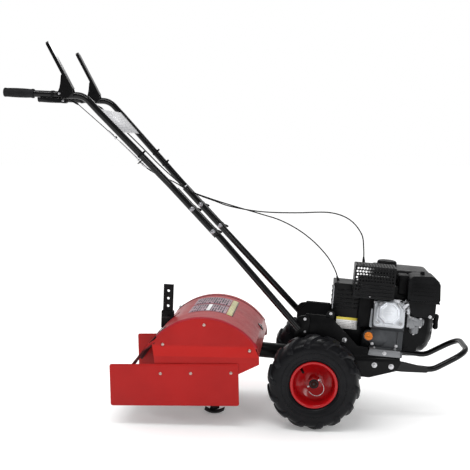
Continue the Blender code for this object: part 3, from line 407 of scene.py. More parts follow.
class Shape:
    """Gathers faces in one frame, then becomes one object that rides on a body."""

    def __init__(self, place=Matrix()):
        self.bm = bmesh.new()
        self.place = place

    def add(self, points, faces, at=Matrix()):
        world = self.place @ at
        verts = [self.bm.verts.new(world @ Vector(point)) for point in points]
        for face in faces:
            self.bm.faces.new([verts[index] for index in face])
        return self

    def merge(self, bm, at):
        world = self.place @ at
        made = {vert: self.bm.verts.new(world @ vert.co) for vert in bm.verts}
        for face in bm.faces:
            self.bm.faces.new([made[vert] for vert in face.verts])
        bm.free()
        return self

    def lathe(self, profile, at=Matrix(), steps=48, loop=False, wave=None):
        """wave(angle, index) scales a profile point's radius."""
        size = len(profile)
        points = []
        for step in range(steps):
            angle = 2 * math.pi * step / steps
            for index, (radius, height) in enumerate(profile):
                reach = radius * (wave(angle, index) if wave else 1.0)
                points.append((reach * math.cos(angle), reach * math.sin(angle), height))
        faces = []
        for step in range(steps):
            after = (step + 1) % steps
            for index in range(size if loop else size - 1):
                other = (index + 1) % size
                faces.append((step * size + index, after * size + index, after * size + other,
                    step * size + other))
        return self.add(points, faces, at)

    def box(self, size, at=Matrix(), bevel=0.0, segments=2):
        bm = bmesh.new()
        bmesh.ops.create_cube(bm, size=1.0)
        bmesh.ops.scale(bm, vec=size, verts=bm.verts)
        if bevel:
            bmesh.ops.bevel(bm, geom=bm.edges[:], offset=bevel, segments=segments, profile=0.5,
                affect="EDGES")
        return self.merge(bm, at)

    def block(self, size, middle, bevel, segments=2):
        """A box in millimetres."""
        size, middle = mm(size, middle)
        return self.box(size, move(*middle), bevel / 1000, segments)

    def prism(self, outline, thickness, at=Matrix(), bevel=0.0, segments=2):
        bm = bmesh.new()
        half = thickness / 2
        low = [bm.verts.new((x, y, -half)) for x, y in outline]
        high = [bm.verts.new((x, y, half)) for x, y in outline]
        bm.faces.new(low[::-1])
        bm.faces.new(high)
        for a, b, c, d in zip(low, low[1:] + low[:1], high[1:] + high[:1], high):
            bm.faces.new((a, b, c, d))
        if bevel:
            rims = [edge for edge in bm.edges if abs(edge.verts[0].co.z
                - edge.verts[1].co.z) < half]
            bmesh.ops.bevel(bm, geom=rims, offset=bevel, segments=segments, profile=0.5,
                affect="EDGES")
        return self.merge(bm, at)

    def slab(self, outline, thickness, across, bevel=0.0, segments=2):
        """A prism that stands lengthwise: the outline in X and Z, at a distance across."""
        return self.prism(outline, thickness, move(0, across, 0) @ SIDEWAYS, bevel, segments)

    def sheet(self, outlines, thickness, at=Matrix(), bevel=0.0):
        """A plate with holes: the first outline is its edge."""
        curve = bpy.data.curves.new("outline", "CURVE")
        curve.dimensions = "2D"
        curve.fill_mode = "BOTH"
        curve.bevel_depth = bevel
        curve.bevel_resolution = 1
        curve.offset = -bevel
        curve.extrude = thickness / 2 - bevel
        for outline in outlines:
            spline = curve.splines.new("POLY")
            spline.points.add(len(outline) - 1)
            for point, (x, y) in zip(spline.points, outline):
                point.co = (x, y, 0, 1)
            spline.use_cyclic_u = True
        obj = add_object("outline", curve)
        bpy.context.view_layer.update()
        depsgraph = bpy.context.evaluated_depsgraph_get()
        mesh = bpy.data.meshes.new_from_object(obj.evaluated_get(depsgraph))
        bpy.data.objects.remove(obj)
        bm = bmesh.new()
        bm.from_mesh(mesh)
        bpy.data.meshes.remove(mesh)
        return self.merge(bm, at)

    def loft(self, rings, at=Matrix()):
        """Closed rings of points joined one after another, with both ends capped."""
        size, last = len(rings[0]), len(rings) - 1
        faces = [(step * size + index, step * size + (index + 1) % size,
            (step + 1) * size + (index + 1) % size, (step + 1) * size + index)
            for step in range(last) for index in range(size)]
        faces += [tuple(range(size)), tuple(range(last * size, (last + 1) * size))[::-1]]
        return self.add([point for ring in rings for point in ring], faces, at)

    def tube(self, points, radius, sides=16, at=Matrix()):
        """A round bar along the points; radius is one number or one for each point."""
        path = [Vector(point) for point in points]
        radii = radius if hasattr(radius, "__len__") else [radius] * len(path)
        side = (path[1] - path[0]).normalized().orthogonal().normalized()
        rings = []
        for before, centre, after, reach in zip(path[:1] + path, path, path[1:] + path[-1:], radii):
            along = (after - before).normalized()
            side = (side - along * side.dot(along)).normalized()
            other = along.cross(side)
            rings.append([centre + (side * x + other * y) * reach
                for x, y in circle((0, 0), 1, sides)])
        return self.loft(rings, at)

    def ridge(self, start, end, lift, inset, radius, tip):
        """A pressed bead that rises by lift between two points of a sheet."""
        share = inset / math.dist(start, end)
        near = [a + (b - a) * share + rise for a, b, rise in zip(start, end, lift)]
        far = [b - (b - a) * share + rise for a, b, rise in zip(start, end, lift)]
        return self.tube([start, near, far, end], [tip, radius, radius, tip], 10)

    def hex_bolt(self, at, size=0.0065):
        """A hexagon head on a washer, standing out along the local +Z."""
        self.lathe([(0, 0.0014), (size * 1.45, 0.0014), (size * 1.5, 0.0009), (size * 1.5, 0.0)],
            at, 20)
        head = size * 0.75
        return self.lathe([(0, head + 0.0014), (size * 0.72, head + 0.0014), (size, head + 0.0005),
            (size, 0.001)], at, 6)

    def dome_bolt(self, at, size=0.008):
        height = size * 0.42
        profile = [(0, height), (size * 0.35, height * 0.93), (size * 0.65, height * 0.72),
            (size * 0.88, height * 0.38), (size, height * 0.08), (size, 0)]
        return self.lathe(profile, at, 20)

    def done(self, name, material, *nodes, body="machine", angle=38, slot=None):
        """Makes the object, stands it in for CAD nodes, and shades it smooth up to the angle."""
        bmesh.ops.remove_doubles(self.bm, verts=self.bm.verts, dist=1e-6)
        bmesh.ops.recalc_face_normals(self.bm, faces=self.bm.faces)
        mesh = bpy.data.meshes.new(name)
        self.bm.to_mesh(mesh)
        self.bm.free()
        mesh.shade_smooth()
        mesh.set_sharp_from_angle(angle=math.radians(angle))
        mesh.materials.append(material)
        obj = add_object(name, mesh)
        if body:
            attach(obj, body)
        if nodes:
            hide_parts(*nodes)
        return obj


def patch(name, point, columns, rows, material, body):
    """A thin printed patch on a surface; point(u, v) gives a place for u and v from 0 to 1."""
    bm = bmesh.new()
    layer = bm.loops.layers.uv.new("label")
    grid = [[bm.verts.new(point(i / columns, j / rows)) for i in range(columns + 1)]
        for j in range(rows + 1)]
    for j in range(rows):
        for i in range(columns):
            corners = [(i, j), (i + 1, j), (i + 1, j + 1), (i, j + 1)]
            face = bm.faces.new([grid[b][a] for a, b in corners])
            for loop, (a, b) in zip(face.loops, corners):
                loop[layer].uv = (a / columns, b / rows)
    mesh = bpy.data.meshes.new(name)
    bm.to_mesh(mesh)
    bm.free()
    mesh.shade_smooth()
    mesh.materials.append(material)
    obj = add_object(name, mesh)
    solid = obj.modifiers.new("thickness", "SOLIDIFY")
    solid.thickness = 0.0002
    solid.offset = 0
    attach(obj, body)


def dress(node, material, bevel=0.0007):
    """Gives a CAD node its finish and soft edges; its vertices stay as they are."""
    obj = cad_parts[node]
    obj.data.materials.clear()
    obj.data.materials.append(material)
    obj.data.shade_smooth()
    weld = obj.modifiers.new("weld", "WELD")
    weld.merge_threshold = 0.00001
    bevel_edges(obj, bevel, 2, 32)


# Wheels ---------------------------------------------------------------------------------------

TRACK_HALF = 0.223
LUGS = 14
LUG_PATH = [  # radius, distance from the mid-plane, sweep in degrees, height, width
    (0.1642, 0.001, -0.5, 0.0074, 0.0185),
    (0.1641, 0.012, 2.4, 0.0075, 0.019),
    (0.1632, 0.024, 5.6, 0.0075, 0.0195),
    (0.1612, 0.036, 8.8, 0.0074, 0.02),
    (0.1575, 0.0465, 11.6, 0.0072, 0.0205),
    (0.152, 0.0545, 13.8, 0.0062, 0.02),
    (0.1455, 0.0592, 15.4, 0.004, 0.018),
    (0.14, 0.0612, 16.4, 0.0012, 0.014)]
LUG_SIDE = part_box("tyre_left")[1][1] - TRACK_HALF - 0.0002


def tyre(side, sign):
    """A carcass with two rings on its wall and pairs of lugs that meet in the middle."""
    outer = mm((88.5, 48.8), (88.8, 53.5), (91.5, 57.2), (95.8, 59.2), (97.5, 60.6), (100, 60.6),
        (101.2, 59.6), (108, 61.2), (118, 62.2), (129, 62.5), (138.5, 61.4), (145.5, 59),
        (152, 54.2), (157.5, 46.2), (161.2, 35.5), (163.2, 23.5), (164.1, 11.8), (164.3, 0))
    profile = outer + [(radius, -across) for radius, across in outer[-2::-1]]
    profile += mm((80, -48), (80, 48))
    at = facing(AXLE_X, sign * TRACK_HALF, AXLE_Z, sign)
    body = Shape()
    body.lathe(profile, at, 112, loop=True)
    for lug in range(LUGS):
        for half in (1, -1):
            add_lug(body, at, 360 * lug / LUGS + 8, half, sign)
    body.done("tyre_tread_" + side, tyre_rubber, "tyre_" + side, body="wheels", angle=42)
    marks = Shape()
    for radius in (0.1165, 0.119):
        ring = [(radius, 0.0618), (radius + 0.0005, 0.0629), (radius + 0.001, 0.0618)]
        marks.lathe(ring, at, 96)
    marks.done("tyre_rings_" + side, tyre_rubber, body="wheels")


def add_lug(body, at, start, half, sign):
    """One curved lug from the tread's middle over the shoulder, held inside the CAD's width."""
    centres = []
    for radius, across, sweep, _, _ in LUG_PATH:
        angle = math.radians(start - sweep * sign)
        centres.append(Vector((radius * math.cos(angle), radius * math.sin(angle), across * half)))
    rings, last = [], len(centres) - 1
    for index, (centre, (_, _, _, height, width)) in enumerate(zip(centres, LUG_PATH)):
        along = (centres[min(index + 1, last)] - centres[max(index - 1, 0)]).normalized()
        radial = Vector((centre.x, centre.y, 0)).normalized()
        normal = radial + Vector((0, 0, half)) * (index / last) ** 2.2 * 1.4
        normal = (normal - along * normal.dot(along)).normalized()
        side = along.cross(normal)
        edge = width / 2
        section = [(-edge - 0.003, -0.0012), (-edge - 0.0006, height * 0.72),
            (-edge + 0.0012, height)]
        ring = []
        for across, out in section + [(-across, out) for across, out in section[::-1]]:
            point = centre + side * across + normal * out
            point.z = max(-LUG_SIDE, min(LUG_SIDE, point.z))
            ring.append(point)
        rings.append(ring)
    body.loft(rings, at)


def rim(side, sign):
    """A pressed dish welded to its hub tube, with the valve."""
    at = facing(AXLE_X, sign * TRACK_HALF, AXLE_Z, sign)
    profile = mm((76.8, 54), (79, 55.6), (82, 56.3), (85, 55.6), (86.5, 53.5), (86.2, 51),
        (84.5, 49.6), (80.5, 49.3), (79, 48.5), (78.8, -48.5), (80.5, -49.3), (84.5, -49.6),
        (86.2, -51), (86.5, -53.5), (85, -55.6), (82, -56.3), (79, -55.6), (76.8, -54), (75.8, -48),
        (75, -12), (70, -10.5), (42, -21.5), (23, -23.5), (19, -23.8), (19, -30), (13.1, -30),
        (13.1, 35), (18.5, 35), (19, 34.5), (19, -15), (21.5, -18), (30, -18.6), (38, -16.8),
        (60, -7.5), (69, -3.5), (72.5, 1), (73.8, 8), (74.8, 47), (75.6, 52))
    body = Shape()
    body.lathe(profile, at, 96, loop=True)
    for weld in range(3):
        angle = 60 + 120 * weld
        seat = at @ turn(angle, "Z") @ move(0.0205, 0, -0.0165)
        body.box((0.006, 0.012, 0.006), seat, 0.0022)
    body.done("rim_dish_" + side, rim_paint, "rim_" + side, body="wheels", angle=40)
    stem = Shape()
    seat = at @ turn(133, "Z")
    base, tip = Vector((0.0725, 0, 0.012)), Vector((0.056, 0, 0.036))
    stem.tube([base, base.lerp(tip, 0.25), base.lerp(tip, 0.3), base.lerp(tip, 0.75),
        base.lerp(tip, 0.78), tip], [0.0078, 0.0068, 0.005, 0.0044, 0.0048, 0.0046], 16, at=seat)
    stem.done("valve_stem_" + side, black_plastic, body="wheels")


PIN_LEAN = 58.0


def lock_pin(side, sign):
    """The pin through hub and axle, leaning as the wheel stands, and its snap loop of wire."""
    place = move(AXLE_X, 0, AXLE_Z) @ turn(PIN_LEAN, "Y")
    across = sign * 0.2475
    pin = Shape(place)
    pin.lathe(mm((0, 27.5), (3, 27.5), (4, 26.2), (4, -25), (3, -27.2), (0, -27.2)),
        move(0, across, 0), 20)
    pin.lathe(mm((0, 30), (5.2, 29.2), (6, 27.5), (5.2, 25.6), (4, 25)), move(0, across, 0), 20)
    out = sign * 0.2652
    bow = [(0, across, 0.0235), (0.003, sign * 0.256, 0.0262), (0.013, out, 0.0275),
        (0.028, out, 0.025), (0.04, out, 0.015), (0.0445, out, 0.0), (0.04, out, -0.015),
        (0.028, out, -0.025), (0.013, out, -0.029)]
    pin.tube(smooth_path(bow, 0.003), 0.0011, 10)
    pin.done("hub_pin_" + side, bolt_zinc, "lock_pin_" + side, body="wheels", angle=40)
    ring = Shape(move(AXLE_X, 0, AXLE_Z))
    at = facing(0, sign * 0.2582, 0, sign)
    ring.lathe(mm((13.4, 0.6), (17.6, 0.6), (18, 0.2), (18, -0.1), (13.4, -0.1)), at, 40, loop=True)
    ring.done("hub_face_" + side, black_paint, body="wheels", slot="zinc_steel")
    Shape(move(AXLE_X, 0, AXLE_Z)).lathe(mm((4, -2), (4, 0.4), (11.2, 0.4), (12.2, -0.4),
        (12.2, -1)), facing(0, sign * 0.2621, 0, sign), 32).done("axle_end_" + side, hub_brown,
        body="wheels")


for side, sign in SIDES.items():
    tyre(side, sign)
    rim(side, sign)
    lock_pin(side, sign)
dress("axle_shaft", dark_casting)

# Frame and drive line -------------------------------------------------------------------------

for node in ("frame_side_right", "frame_side_left", "engine_deck", "drive_boom"):
    dress(node, black_paint)
dress("frame_top_plate", matte_paint)
for node in ("gearbox_housing", "tine_gearcase"):
    dress(node, dark_casting, 0.0015)
for node in ("driven_pulley", "engine_pulley"):
    dress(node, dark_steel)
dress("drive_belt", belt_rubber, 0.0004)
for node in ("drive_shaft", "crankshaft", "tine_shaft"):
    dress(node, zinc)

PLATE_FACE = 0.1415


def frame_bolts():
    """Bolts, handle tabs and folded edges of the two side plates."""
    silver = Shape(CHASSIS)
    for side, sign in SIDES.items():
        face = sign * (PLATE_FACE + 0.0001)
        for along, up, size in mm((-52, 213, 3.6), (-48, 165, 3.6), (101, 147, 6.2), (220, 63, 6.8),
                (282, 63, 6.8)):
            lift = 0.0062 if along < -0.04 else 0.0
            silver.hex_bolt(facing(along, face + sign * lift, up, sign), size)
    silver.hex_bolt(facing(0.042, -0.142, 0.2415), 0.0038)
    silver.done("frame_bolts", bolt_zinc)
    tabs = Shape(CHASSIS)
    outline = softened(mm((-94, 196), (-74, 222), (-42, 228), (-34, 212), (-34, 156), (-48, 148),
        (-64, 152)), 0.008)
    for side, sign in SIDES.items():
        tabs.slab(outline, 0.0055, sign * (PLATE_FACE + 0.0032), 0.001)
    tabs.slab(softened(mm((22, 224), (56, 224), (56, 250), (30, 250)), 0.006), 0.0036, -0.14,
        0.0006)
    tabs.done("handle_tabs", black_paint)
    folded = Shape(CHASSIS)
    lip = softened(mm((-83, 149), (-83, 189), (-47, 230.5), (43, 230.5), (70, 201.5), (67.5, 199.5),
        (42.5, 227), (-45.5, 227), (-80.5, 187.5), (-80.5, 149)), 0.003, 3)
    for side, sign in SIDES.items():
        folded.slab(lip, 0.01, sign * 0.1328, 0.0006)
    folded.done("frame_edge_folds", black_paint)


frame_bolts()


def bumper():
    """The bent front loop and the plates that hold its ends."""
    leg_y = 0.126
    half = [(0.185, leg_y, 0.066), (0.33, leg_y, 0.066), (0.437, leg_y - 0.006, 0.062),
        (0.5605, 0.114, 0.142)]
    path = [(x, -y, z) for x, y, z in half] + half[::-1]
    Shape(CHASSIS).tube(filleted(path, 0.075, 12), 0.0109, 24).done("front_bumper_bar", tube_paint,
        "front_bumper", angle=40)
    root = Shape(CHASSIS)
    outline = softened(mm((196, 50), (322, 46.5), (420, 52), (424, 70), (322, 85), (196, 84)),
        0.008)
    for side, sign in SIDES.items():
        root.slab(outline, 0.007, sign * (leg_y + 0.0075), 0.0025, 3)
    root.done("bumper_roots", tube_paint)


bumper()


def belt_cover():
    """A pressed cover with rows of louvres and a rolled rim; its printed panel is added after it.
    """
    low, high = Vector((0.047, -0.066, 0.107)), Vector((0.168, 0.066, 0.347))
    size, middle = high - low, (high + low) / 2
    wall, face, crest = 0.0018, 0.0652, 0.0672
    shell, slats, screws, beading = (Shape(CHASSIS) for _ in range(4))
    for sign in (-1, 1):
        shell.box((size.x, wall, size.z), move(middle.x, sign * (high.y - wall / 2), middle.z),
            0.0007)
    shell.box((wall, size.y, size.z), move(low.x + wall / 2, 0, middle.z), 0.0007)
    shell.box((size.x, size.y, wall), move(middle.x, 0, high.z - wall / 2), 0.0007)
    for sign in (-1, 1):
        side = sign * face
        shell.tube([(low.x, side, high.z - 0.001), (high.x, side, high.z - 0.001)], 0.00156, 10)
        shell.tube([(low.x + 0.001, side, low.z), (low.x + 0.001, side, high.z)], 0.00156, 10)
        for row in range(5):
            for column in range(3):
                along, up = low.x + 0.026 + column * 0.034, 0.322 - row * 0.0165
                slats.ridge((along - 0.014, side, up), (along + 0.014, side, up),
                    (0, sign * (crest - face), 0), 0.002, 0.0034, 0.001)
        for along, up in ((low.x + 0.008, 0.336), (low.x + 0.06, 0.137)):
            screws.dome_bolt(facing(along, sign * 0.0661, up, sign), 0.0046)
        edge = (low.x + 0.0008, sign * 0.0665)
        beading.tube([(*edge, 0.248), (*edge, 0.338)], 0.0013, 8)
    for row in range(4):
        for column in range(3):
            across, up = -0.052 + column * 0.036, 0.318 - row * 0.018
            slats.ridge((low.x + 0.0005, across, up), (low.x + 0.0005, across + 0.032, up),
                (-0.0015, 0, 0), 0.002, 0.0032, 0.001)
    shell.done("belt_guard", black_paint, "belt_cover", angle=40)
    slats.done("belt_guard_louvres", black_paint)
    screws.done("belt_guard_screws", black_paint)
    beading.done("belt_guard_beading", zinc)


belt_cover()


def corner_patch(corners, place, lift=Vector((0, -0.0005, 0))):
    """A place function for a flat label from its four corners in a frame."""
    a, b, c, d = (Vector(corner) for corner in corners)

    def point(u, v):
        return place @ (a.lerp(b, u).lerp(d.lerp(c, u), v) + lift)
    return point


guard_label = printed("guard_label_print", (0.98, 0.97, 0.96), (0.3, 0.3, 0.31), 7, 16.0,
    (0.8, 0.66, 0.1), 0.78, 0.22)
patch("guard_label", corner_patch(mm((67, -66, 175), (146, -66, 175), (146, -66, 219),
    (67, -66, 219)), CHASSIS), 1, 1, guard_label, "machine")

# Engine ---------------------------------------------------------------------------------------

CRANK_W = 0.205


def crankcase():
    """The cast block with its foot plate and oil filler neck."""
    dress("crankcase", engine_casting, 0.0025)
    extra = Shape(CHASSIS)
    extra.block((2.8, 6, 45), (299, -107.5, 165), 1)
    extra.lathe(mm((0, -6), (34, -6), (38, -3), (40, 4), (40, 10)), facing(0.226, -0.101, 0.16, 1),
        40)
    extra.block((112, 12, 6), (259, -110, 123.5), 1.5)
    extra.lathe(mm((15.8, -0.5), (19, -0.5), (19.5, -4), (19, -12), (15.8, -20)),
        facing(0.19, -0.1145, 0.166), 32)
    extra.done("crankcase_ribs", engine_casting)
    foot = Shape(CHASSIS)
    outline = softened(mm((196, -142.5), (308, -142.5), (308, -85), (196, -85)), 0.006)
    foot.prism(outline, 0.0035, move(0, 0, 0.1222), 0.0008)
    lip = softened(mm((192, 99.8), (310, 99.8), (310, 123.5), (196, 123.5)), 0.003)
    foot.slab(lip, 0.003, -0.1432, 0.0008)
    foot.done("engine_foot_plate", dull_casting)
    bolts = Shape(CHASSIS)
    for along in (0.214, 0.29):
        bolts.hex_bolt(move(along, -0.118, 0.124), 0.0052)
    bolts.hex_bolt(facing(0.252, -0.1448, 0.1115), 0.005)
    for along, up in ((0.207, 0.136), (0.296, 0.134)):
        bolts.hex_bolt(facing(along, -0.1068, up), 0.0038)
    bolts.done("engine_foot_bolts", bolt_zinc)


crankcase()

COVER_X = -0.0045
HEAD_SEAT = CHASSIS @ move(0.257, -0.1055, 0.302) @ turn(-12, "X")


def cylinder_head():
    """Finned cylinder and head, with the bolted flange and the eight-sided rocker cover."""
    body_depth, flange_y = 0.0335, -0.0445
    fins = Shape(HEAD_SEAT)
    fins.box((0.092, body_depth, 0.084), move(0, -0.0005 - body_depth / 2, -0.049), 0.01, 3)
    fin = softened(mm((-56, -98), (56, -98), (56, -2), (-56, -2)), 0.014, 5)
    for index in range(5):
        fins.slab(fin, 0.0024, -0.003 - index * 0.0068, 0.0006)
    fins.done("cylinder_fins", silver_casting, "cylinder_head")
    flange, bolts = Shape(HEAD_SEAT), Shape(HEAD_SEAT)
    outline = softened(mm((-55, -82), (-44, -93), (45, -93), (52, -82), (47, -34), (30, -6),
        (-34, -6), (-47, -34)), 0.008)
    flange.slab(outline, 0.0085, flange_y, 0.0016)
    for along, up in mm((-43, -83), (40, -83), (29, -15), (-33, -15)):
        seat = facing(along, flange_y, up)
        flange.lathe(mm((8.5, 4), (8.5, 8.5), (7, 9.5), (0, 9.5)), seat, 24)
        bolts.hex_bolt(seat @ move(0, 0, 0.01), 0.0044)
    flange.done("head_flange", silver_casting)
    bolts.done("head_bolts", bolt_zinc)
    cover = Shape(HEAD_SEAT)
    seat = facing(COVER_X, -0.0487, -0.046) @ turn(22.5, "Z")
    cover.lathe(mm((46.2, 0), (46.6, 4.5), (43.6, 6.2), (42.6, 7.5), (42, 29), (40.5, 33.5),
        (36.8, 36.2), (31, 37), (29.4, 38.8), (27.5, 39.5), (0, 39.5)), seat, 8)
    bevel_edges(cover.done("rocker_cover_cast", cover_casting, "rocker_cover", angle=25), 0.0022, 3,
        24)
    ridge = Shape(HEAD_SEAT)
    for row, width in enumerate((0.026, 0.034, 0.026)):
        ridge.box((width, 0.0012, 0.0026), move(COVER_X, -0.0884, -0.037 - 0.009 * row), 0.0005)
    ridge.done("rocker_cover_ridges", cover_casting)


cylinder_head()


def shroud_plate():
    """The pressed cooling shroud between the block and the cylinder head."""
    plate = Shape(CHASSIS)
    rim_outline = softened(mm((190, 200), (330, 190), (338, 196), (334, 206), (318, 214),
        (314, 306), (300, 320), (212, 322), (196, 306)), 0.006)
    hole = softened(mm((205, 212), (309, 212), (309, 300), (296, 312), (217, 313), (205, 300)),
        0.012)
    plate.sheet([rim_outline, hole], 0.003, move(0, -0.1345, 0.0) @ turn(-12, "X") @ SIDEWAYS,
        0.0008)
    plate.done("cylinder_shroud", silver_casting)
    baffle = Shape(CHASSIS)
    baffle.block((118, 30, 60), (259, -100, 332), 6)
    baffle.block((60, 12, 150), (176, -74, 265), 3)
    baffle.block((34, 190, 62), (184, 0, 131), 4)
    baffle.lathe(mm((20, 0), (46, 0), (52, 6), (56, 29)), move(0.171, 0, CRANK_W) @ ALONG_X, 48)
    baffle.block((46, 85, 58), (344, -83, 295), 8)
    baffle.done("engine_baffle", cover_plastic)


def muffler_guard():
    """The perforated guard: round holes and slots in five folded panels, and the silencer."""
    low, high = Vector((0.115, -0.181, 0.3175)), Vector((0.263, -0.076, 0.4355))
    size, middle = high - low, (low + high) / 2
    wall = 0.0014
    guard = Shape(CHASSIS)

    def panel(width, height, at, columns, rows, keep=None):
        outline = softened(rectangle(width, height), 0.003, 3)
        inner_width, inner_height, holes = width - 0.008, height - 0.006, []
        for row in range(rows):
            for column in range(columns):
                if keep and not keep(column, row):
                    continue
                shift = 0.25 if row % 2 else 0.0
                across = (column + 0.375 + shift) / columns * inner_width
                up = (row + 0.5) / rows * inner_height
                holes.append(circle((across - inner_width / 2, up - inner_height / 2), 0.0039, 10))
        guard.sheet([outline] + holes, wall, at)

    panel(size.x, size.y, move(middle.x, middle.y, high.z), 13, 9)
    panel(size.y, size.z, move(low.x, middle.y, middle.z) @ ENDWAYS, 9, 10)
    panel(size.y, size.z, move(high.x, middle.y, middle.z) @ ENDWAYS, 9, 10)
    panel(size.x, size.z, move(middle.x, low.y, middle.z) @ SIDEWAYS, 13, 10,
        lambda column, row: row > 4 or (column < 2 and row > 1))
    guard.box((size.x, wall, 0.012), move(middle.x, high.y, low.z + 0.006), 0.0004)
    guard.done("muffler_guard_sheet", black_paint, "muffler_guard", angle=40)
    ribs = Shape(CHASSIS)
    for row in range(4):
        up = low.z + 0.01 + row * 0.013
        ribs.ridge((low.x + 0.006, low.y - 0.0002, up), (high.x - 0.006, low.y - 0.0002, up),
            (0, -0.0016, 0), 0.004, 0.0026, 0.0012)
    ribs.done("muffler_guard_ribs", black_paint)
    silencer = Shape(CHASSIS)
    silencer.box((0.124, 0.066, 0.064), move(middle.x + 0.005, middle.y, 0.362), 0.012, 4)
    silencer.lathe(mm((34.5, 0), (36.5, 2), (34.5, 4)),
        move(middle.x + 0.003, middle.y, 0.362) @ ALONG_X, 32)
    silencer.done("silencer", dark_steel)


def fan_housing():
    """Fan shroud and recoil cover with ringed vents."""
    at = CHASSIS @ move(0.3195, 0, CRANK_W) @ ALONG_X
    Shape(at).lathe(mm((0, 109), (30, 109), (34, 110), (56, 110), (62, 108), (66, 104), (80, 100),
        (88, 93), (96.5, 85), (99.5, 79), (100, 74), (100, 6), (98.5, 2), (97.5, 2), (97.5, 74),
        (78, 96), (0, 104)), steps=72).done("fan_shroud", cover_plastic, "fan_housing", angle=35)
    vents = Shape(at)
    for index in range(36):
        seat = turn(index * 10, "Z")
        vents.box((0.017, 0.0022, 0.0035), seat @ move(0.0475, 0, 0.1098), 0.0008)
    for index in range(30):
        seat = turn(index * 12, "Z")
        vents.box((0.003, 0.012, 0.04), seat @ move(0.0996, 0, 0.038), 0.001)
    vents.done("fan_vents", black_plastic)
    screws = Shape(at)
    for index in range(3):
        seat = turn(30 + index * 120, "Z") @ move(0.073, 0, 0.102)
        screws.hex_bolt(seat, 0.0045)
    screws.done("recoil_screws", bolt_zinc)
    lower = Shape(CHASSIS)
    outline = softened(mm((318, 118), (372, 118), (372, 140), (398, 150), (405, 196), (405, 262),
        (318, 262)), 0.006)
    lower.slab(outline, 0.02, -0.0905, 0.003)
    lower.done("fan_shroud_side", cover_plastic)


def starter():
    """T-shaped pull handle with a soft waist, its rope and its guide."""
    at = CHASSIS @ move(0.4375, 0, 0.222)
    grip = Shape(at)
    count = 14
    points, radii = [], []
    for index in range(count + 1):
        share = index / count
        points.append((0.011, 0, -0.0305 + 0.061 * share))
        radius = 0.002
        if 0 < index < count:
            radius = 0.0098 * (1 - abs(2 * share - 1) ** 6) ** 0.5 + 0.0006
        radii.append(radius * (1.0 - 0.12 * math.cos((share - 0.5) * math.tau)))
    grip.tube(points, radii, 20)
    grip.lathe(mm((3, -6), (5.8, -4), (6.4, 2), (6.4, 6)), ALONG_X, 20)
    grip.tube(mm((-78, 0, 0), (-2, 0, 0)), 0.0028, 10)
    grip.done("pull_handle", black_plastic, "starter_grip", body="starter", angle=40)
    guide = Shape(at).lathe(mm((4.8, -10), (9, -10), (9.8, -8.2), (9, -6.6), (4.8, -6.6)), ALONG_X,
        24, loop=True)
    guide.done("rope_guide", black_plastic)


def air_cleaner():
    """The box over the carburettor: base, cover, seam, corner ribs and fixing knob."""
    cover = Shape(CHASSIS)
    outline = softened(mm((312, 395), (326, 413), (399, 418), (427, 396), (432.5, 320), (314, 320)),
        0.01, 5)
    cover.slab(outline, 0.112, -0.1175, 0.009, 4)
    lower = softened(mm((318, 322), (420, 322), (420, 263), (336, 263)), 0.006, 4)
    cover.slab(lower, 0.1, -0.114, 0.005, 3)
    cover.done("air_box", cover_plastic, "air_cleaner", angle=34)
    trim = Shape(CHASSIS)
    trim.block((119, 116, 4.5), (373, -116.5, 319.5), 1.4)
    trim.block((40, 70, 75), (300, -85, 368), 8, 3)
    inset = softened(mm((325, 332), (420, 332), (416, 390), (394, 407), (327, 404)), 0.008, 4)
    trim.slab(inset, 0.0026, -0.1736, 0.0009)
    for row in range(4):
        trim.box((0.076, 0.0022, 0.002), move(0.371, -0.1752, 0.345 + row * 0.014), 0.0007)
    trim.done("air_box_trim", black_plastic)
    Shape(CHASSIS).lathe(mm((0, 10), (6, 10), (7.8, 8), (8.5, 0)), move(0.365, -0.118, 0.4165), 24,
        wave=lambda angle, index: 1 + 0.06 * math.cos(8 * angle)).done("air_box_knob",
        black_plastic)


def fuel_tank():
    """The tank with its seam, straps, neck and ribbed cap."""
    tank = Shape(CHASSIS)
    centre = Vector((0.3, 0.065, 0.373))
    tank.box((0.226, 0.2, 0.078), move(*centre), 0.022, 6)
    tank.done("fuel_tank_shell", tank_paint, "fuel_tank", angle=40)
    seam = Shape(CHASSIS)
    outline = softened(rectangle(0.232, 0.206), 0.028, 8)
    inner = softened(rectangle(0.216, 0.19), 0.024, 8)
    seam.sheet([outline, inner], 0.003, move(centre.x, centre.y, centre.z - 0.006), 0.0008)
    for across in (0.01, 0.12):
        seam.box((0.19, 0.018, 0.003), move(centre.x, across, 0.3318), 0.0008)
        for along in (0.205, 0.395):
            seam.box((0.003, 0.018, 0.036), move(along, across, 0.315), 0.0008)
    seam.done("fuel_tank_seam", tank_paint)
    Shape(CHASSIS).lathe(mm((17.8, -12), (17.8, 0), (30, 0), (32, -3)), move(0.248, 0.065, 0.4123),
        40).done("fuel_neck", tank_paint)
    Shape(CHASSIS).lathe(mm((0, 19.5), (16, 21.5), (28, 22.2), (33, 20.5), (36.2, 17), (37.5, 12),
        (37.8, 1), (36, 0.3), (25, 0.3)), move(0.248, 0.065, 0.4124), 144,
        wave=lambda angle, index: 1 + (0.016 * math.cos(36 * angle) if 3 <= index <= 7
        else 0)).done("fuel_cap_ribbed", black_plastic, "fuel_cap", body="tank_cap", angle=60)


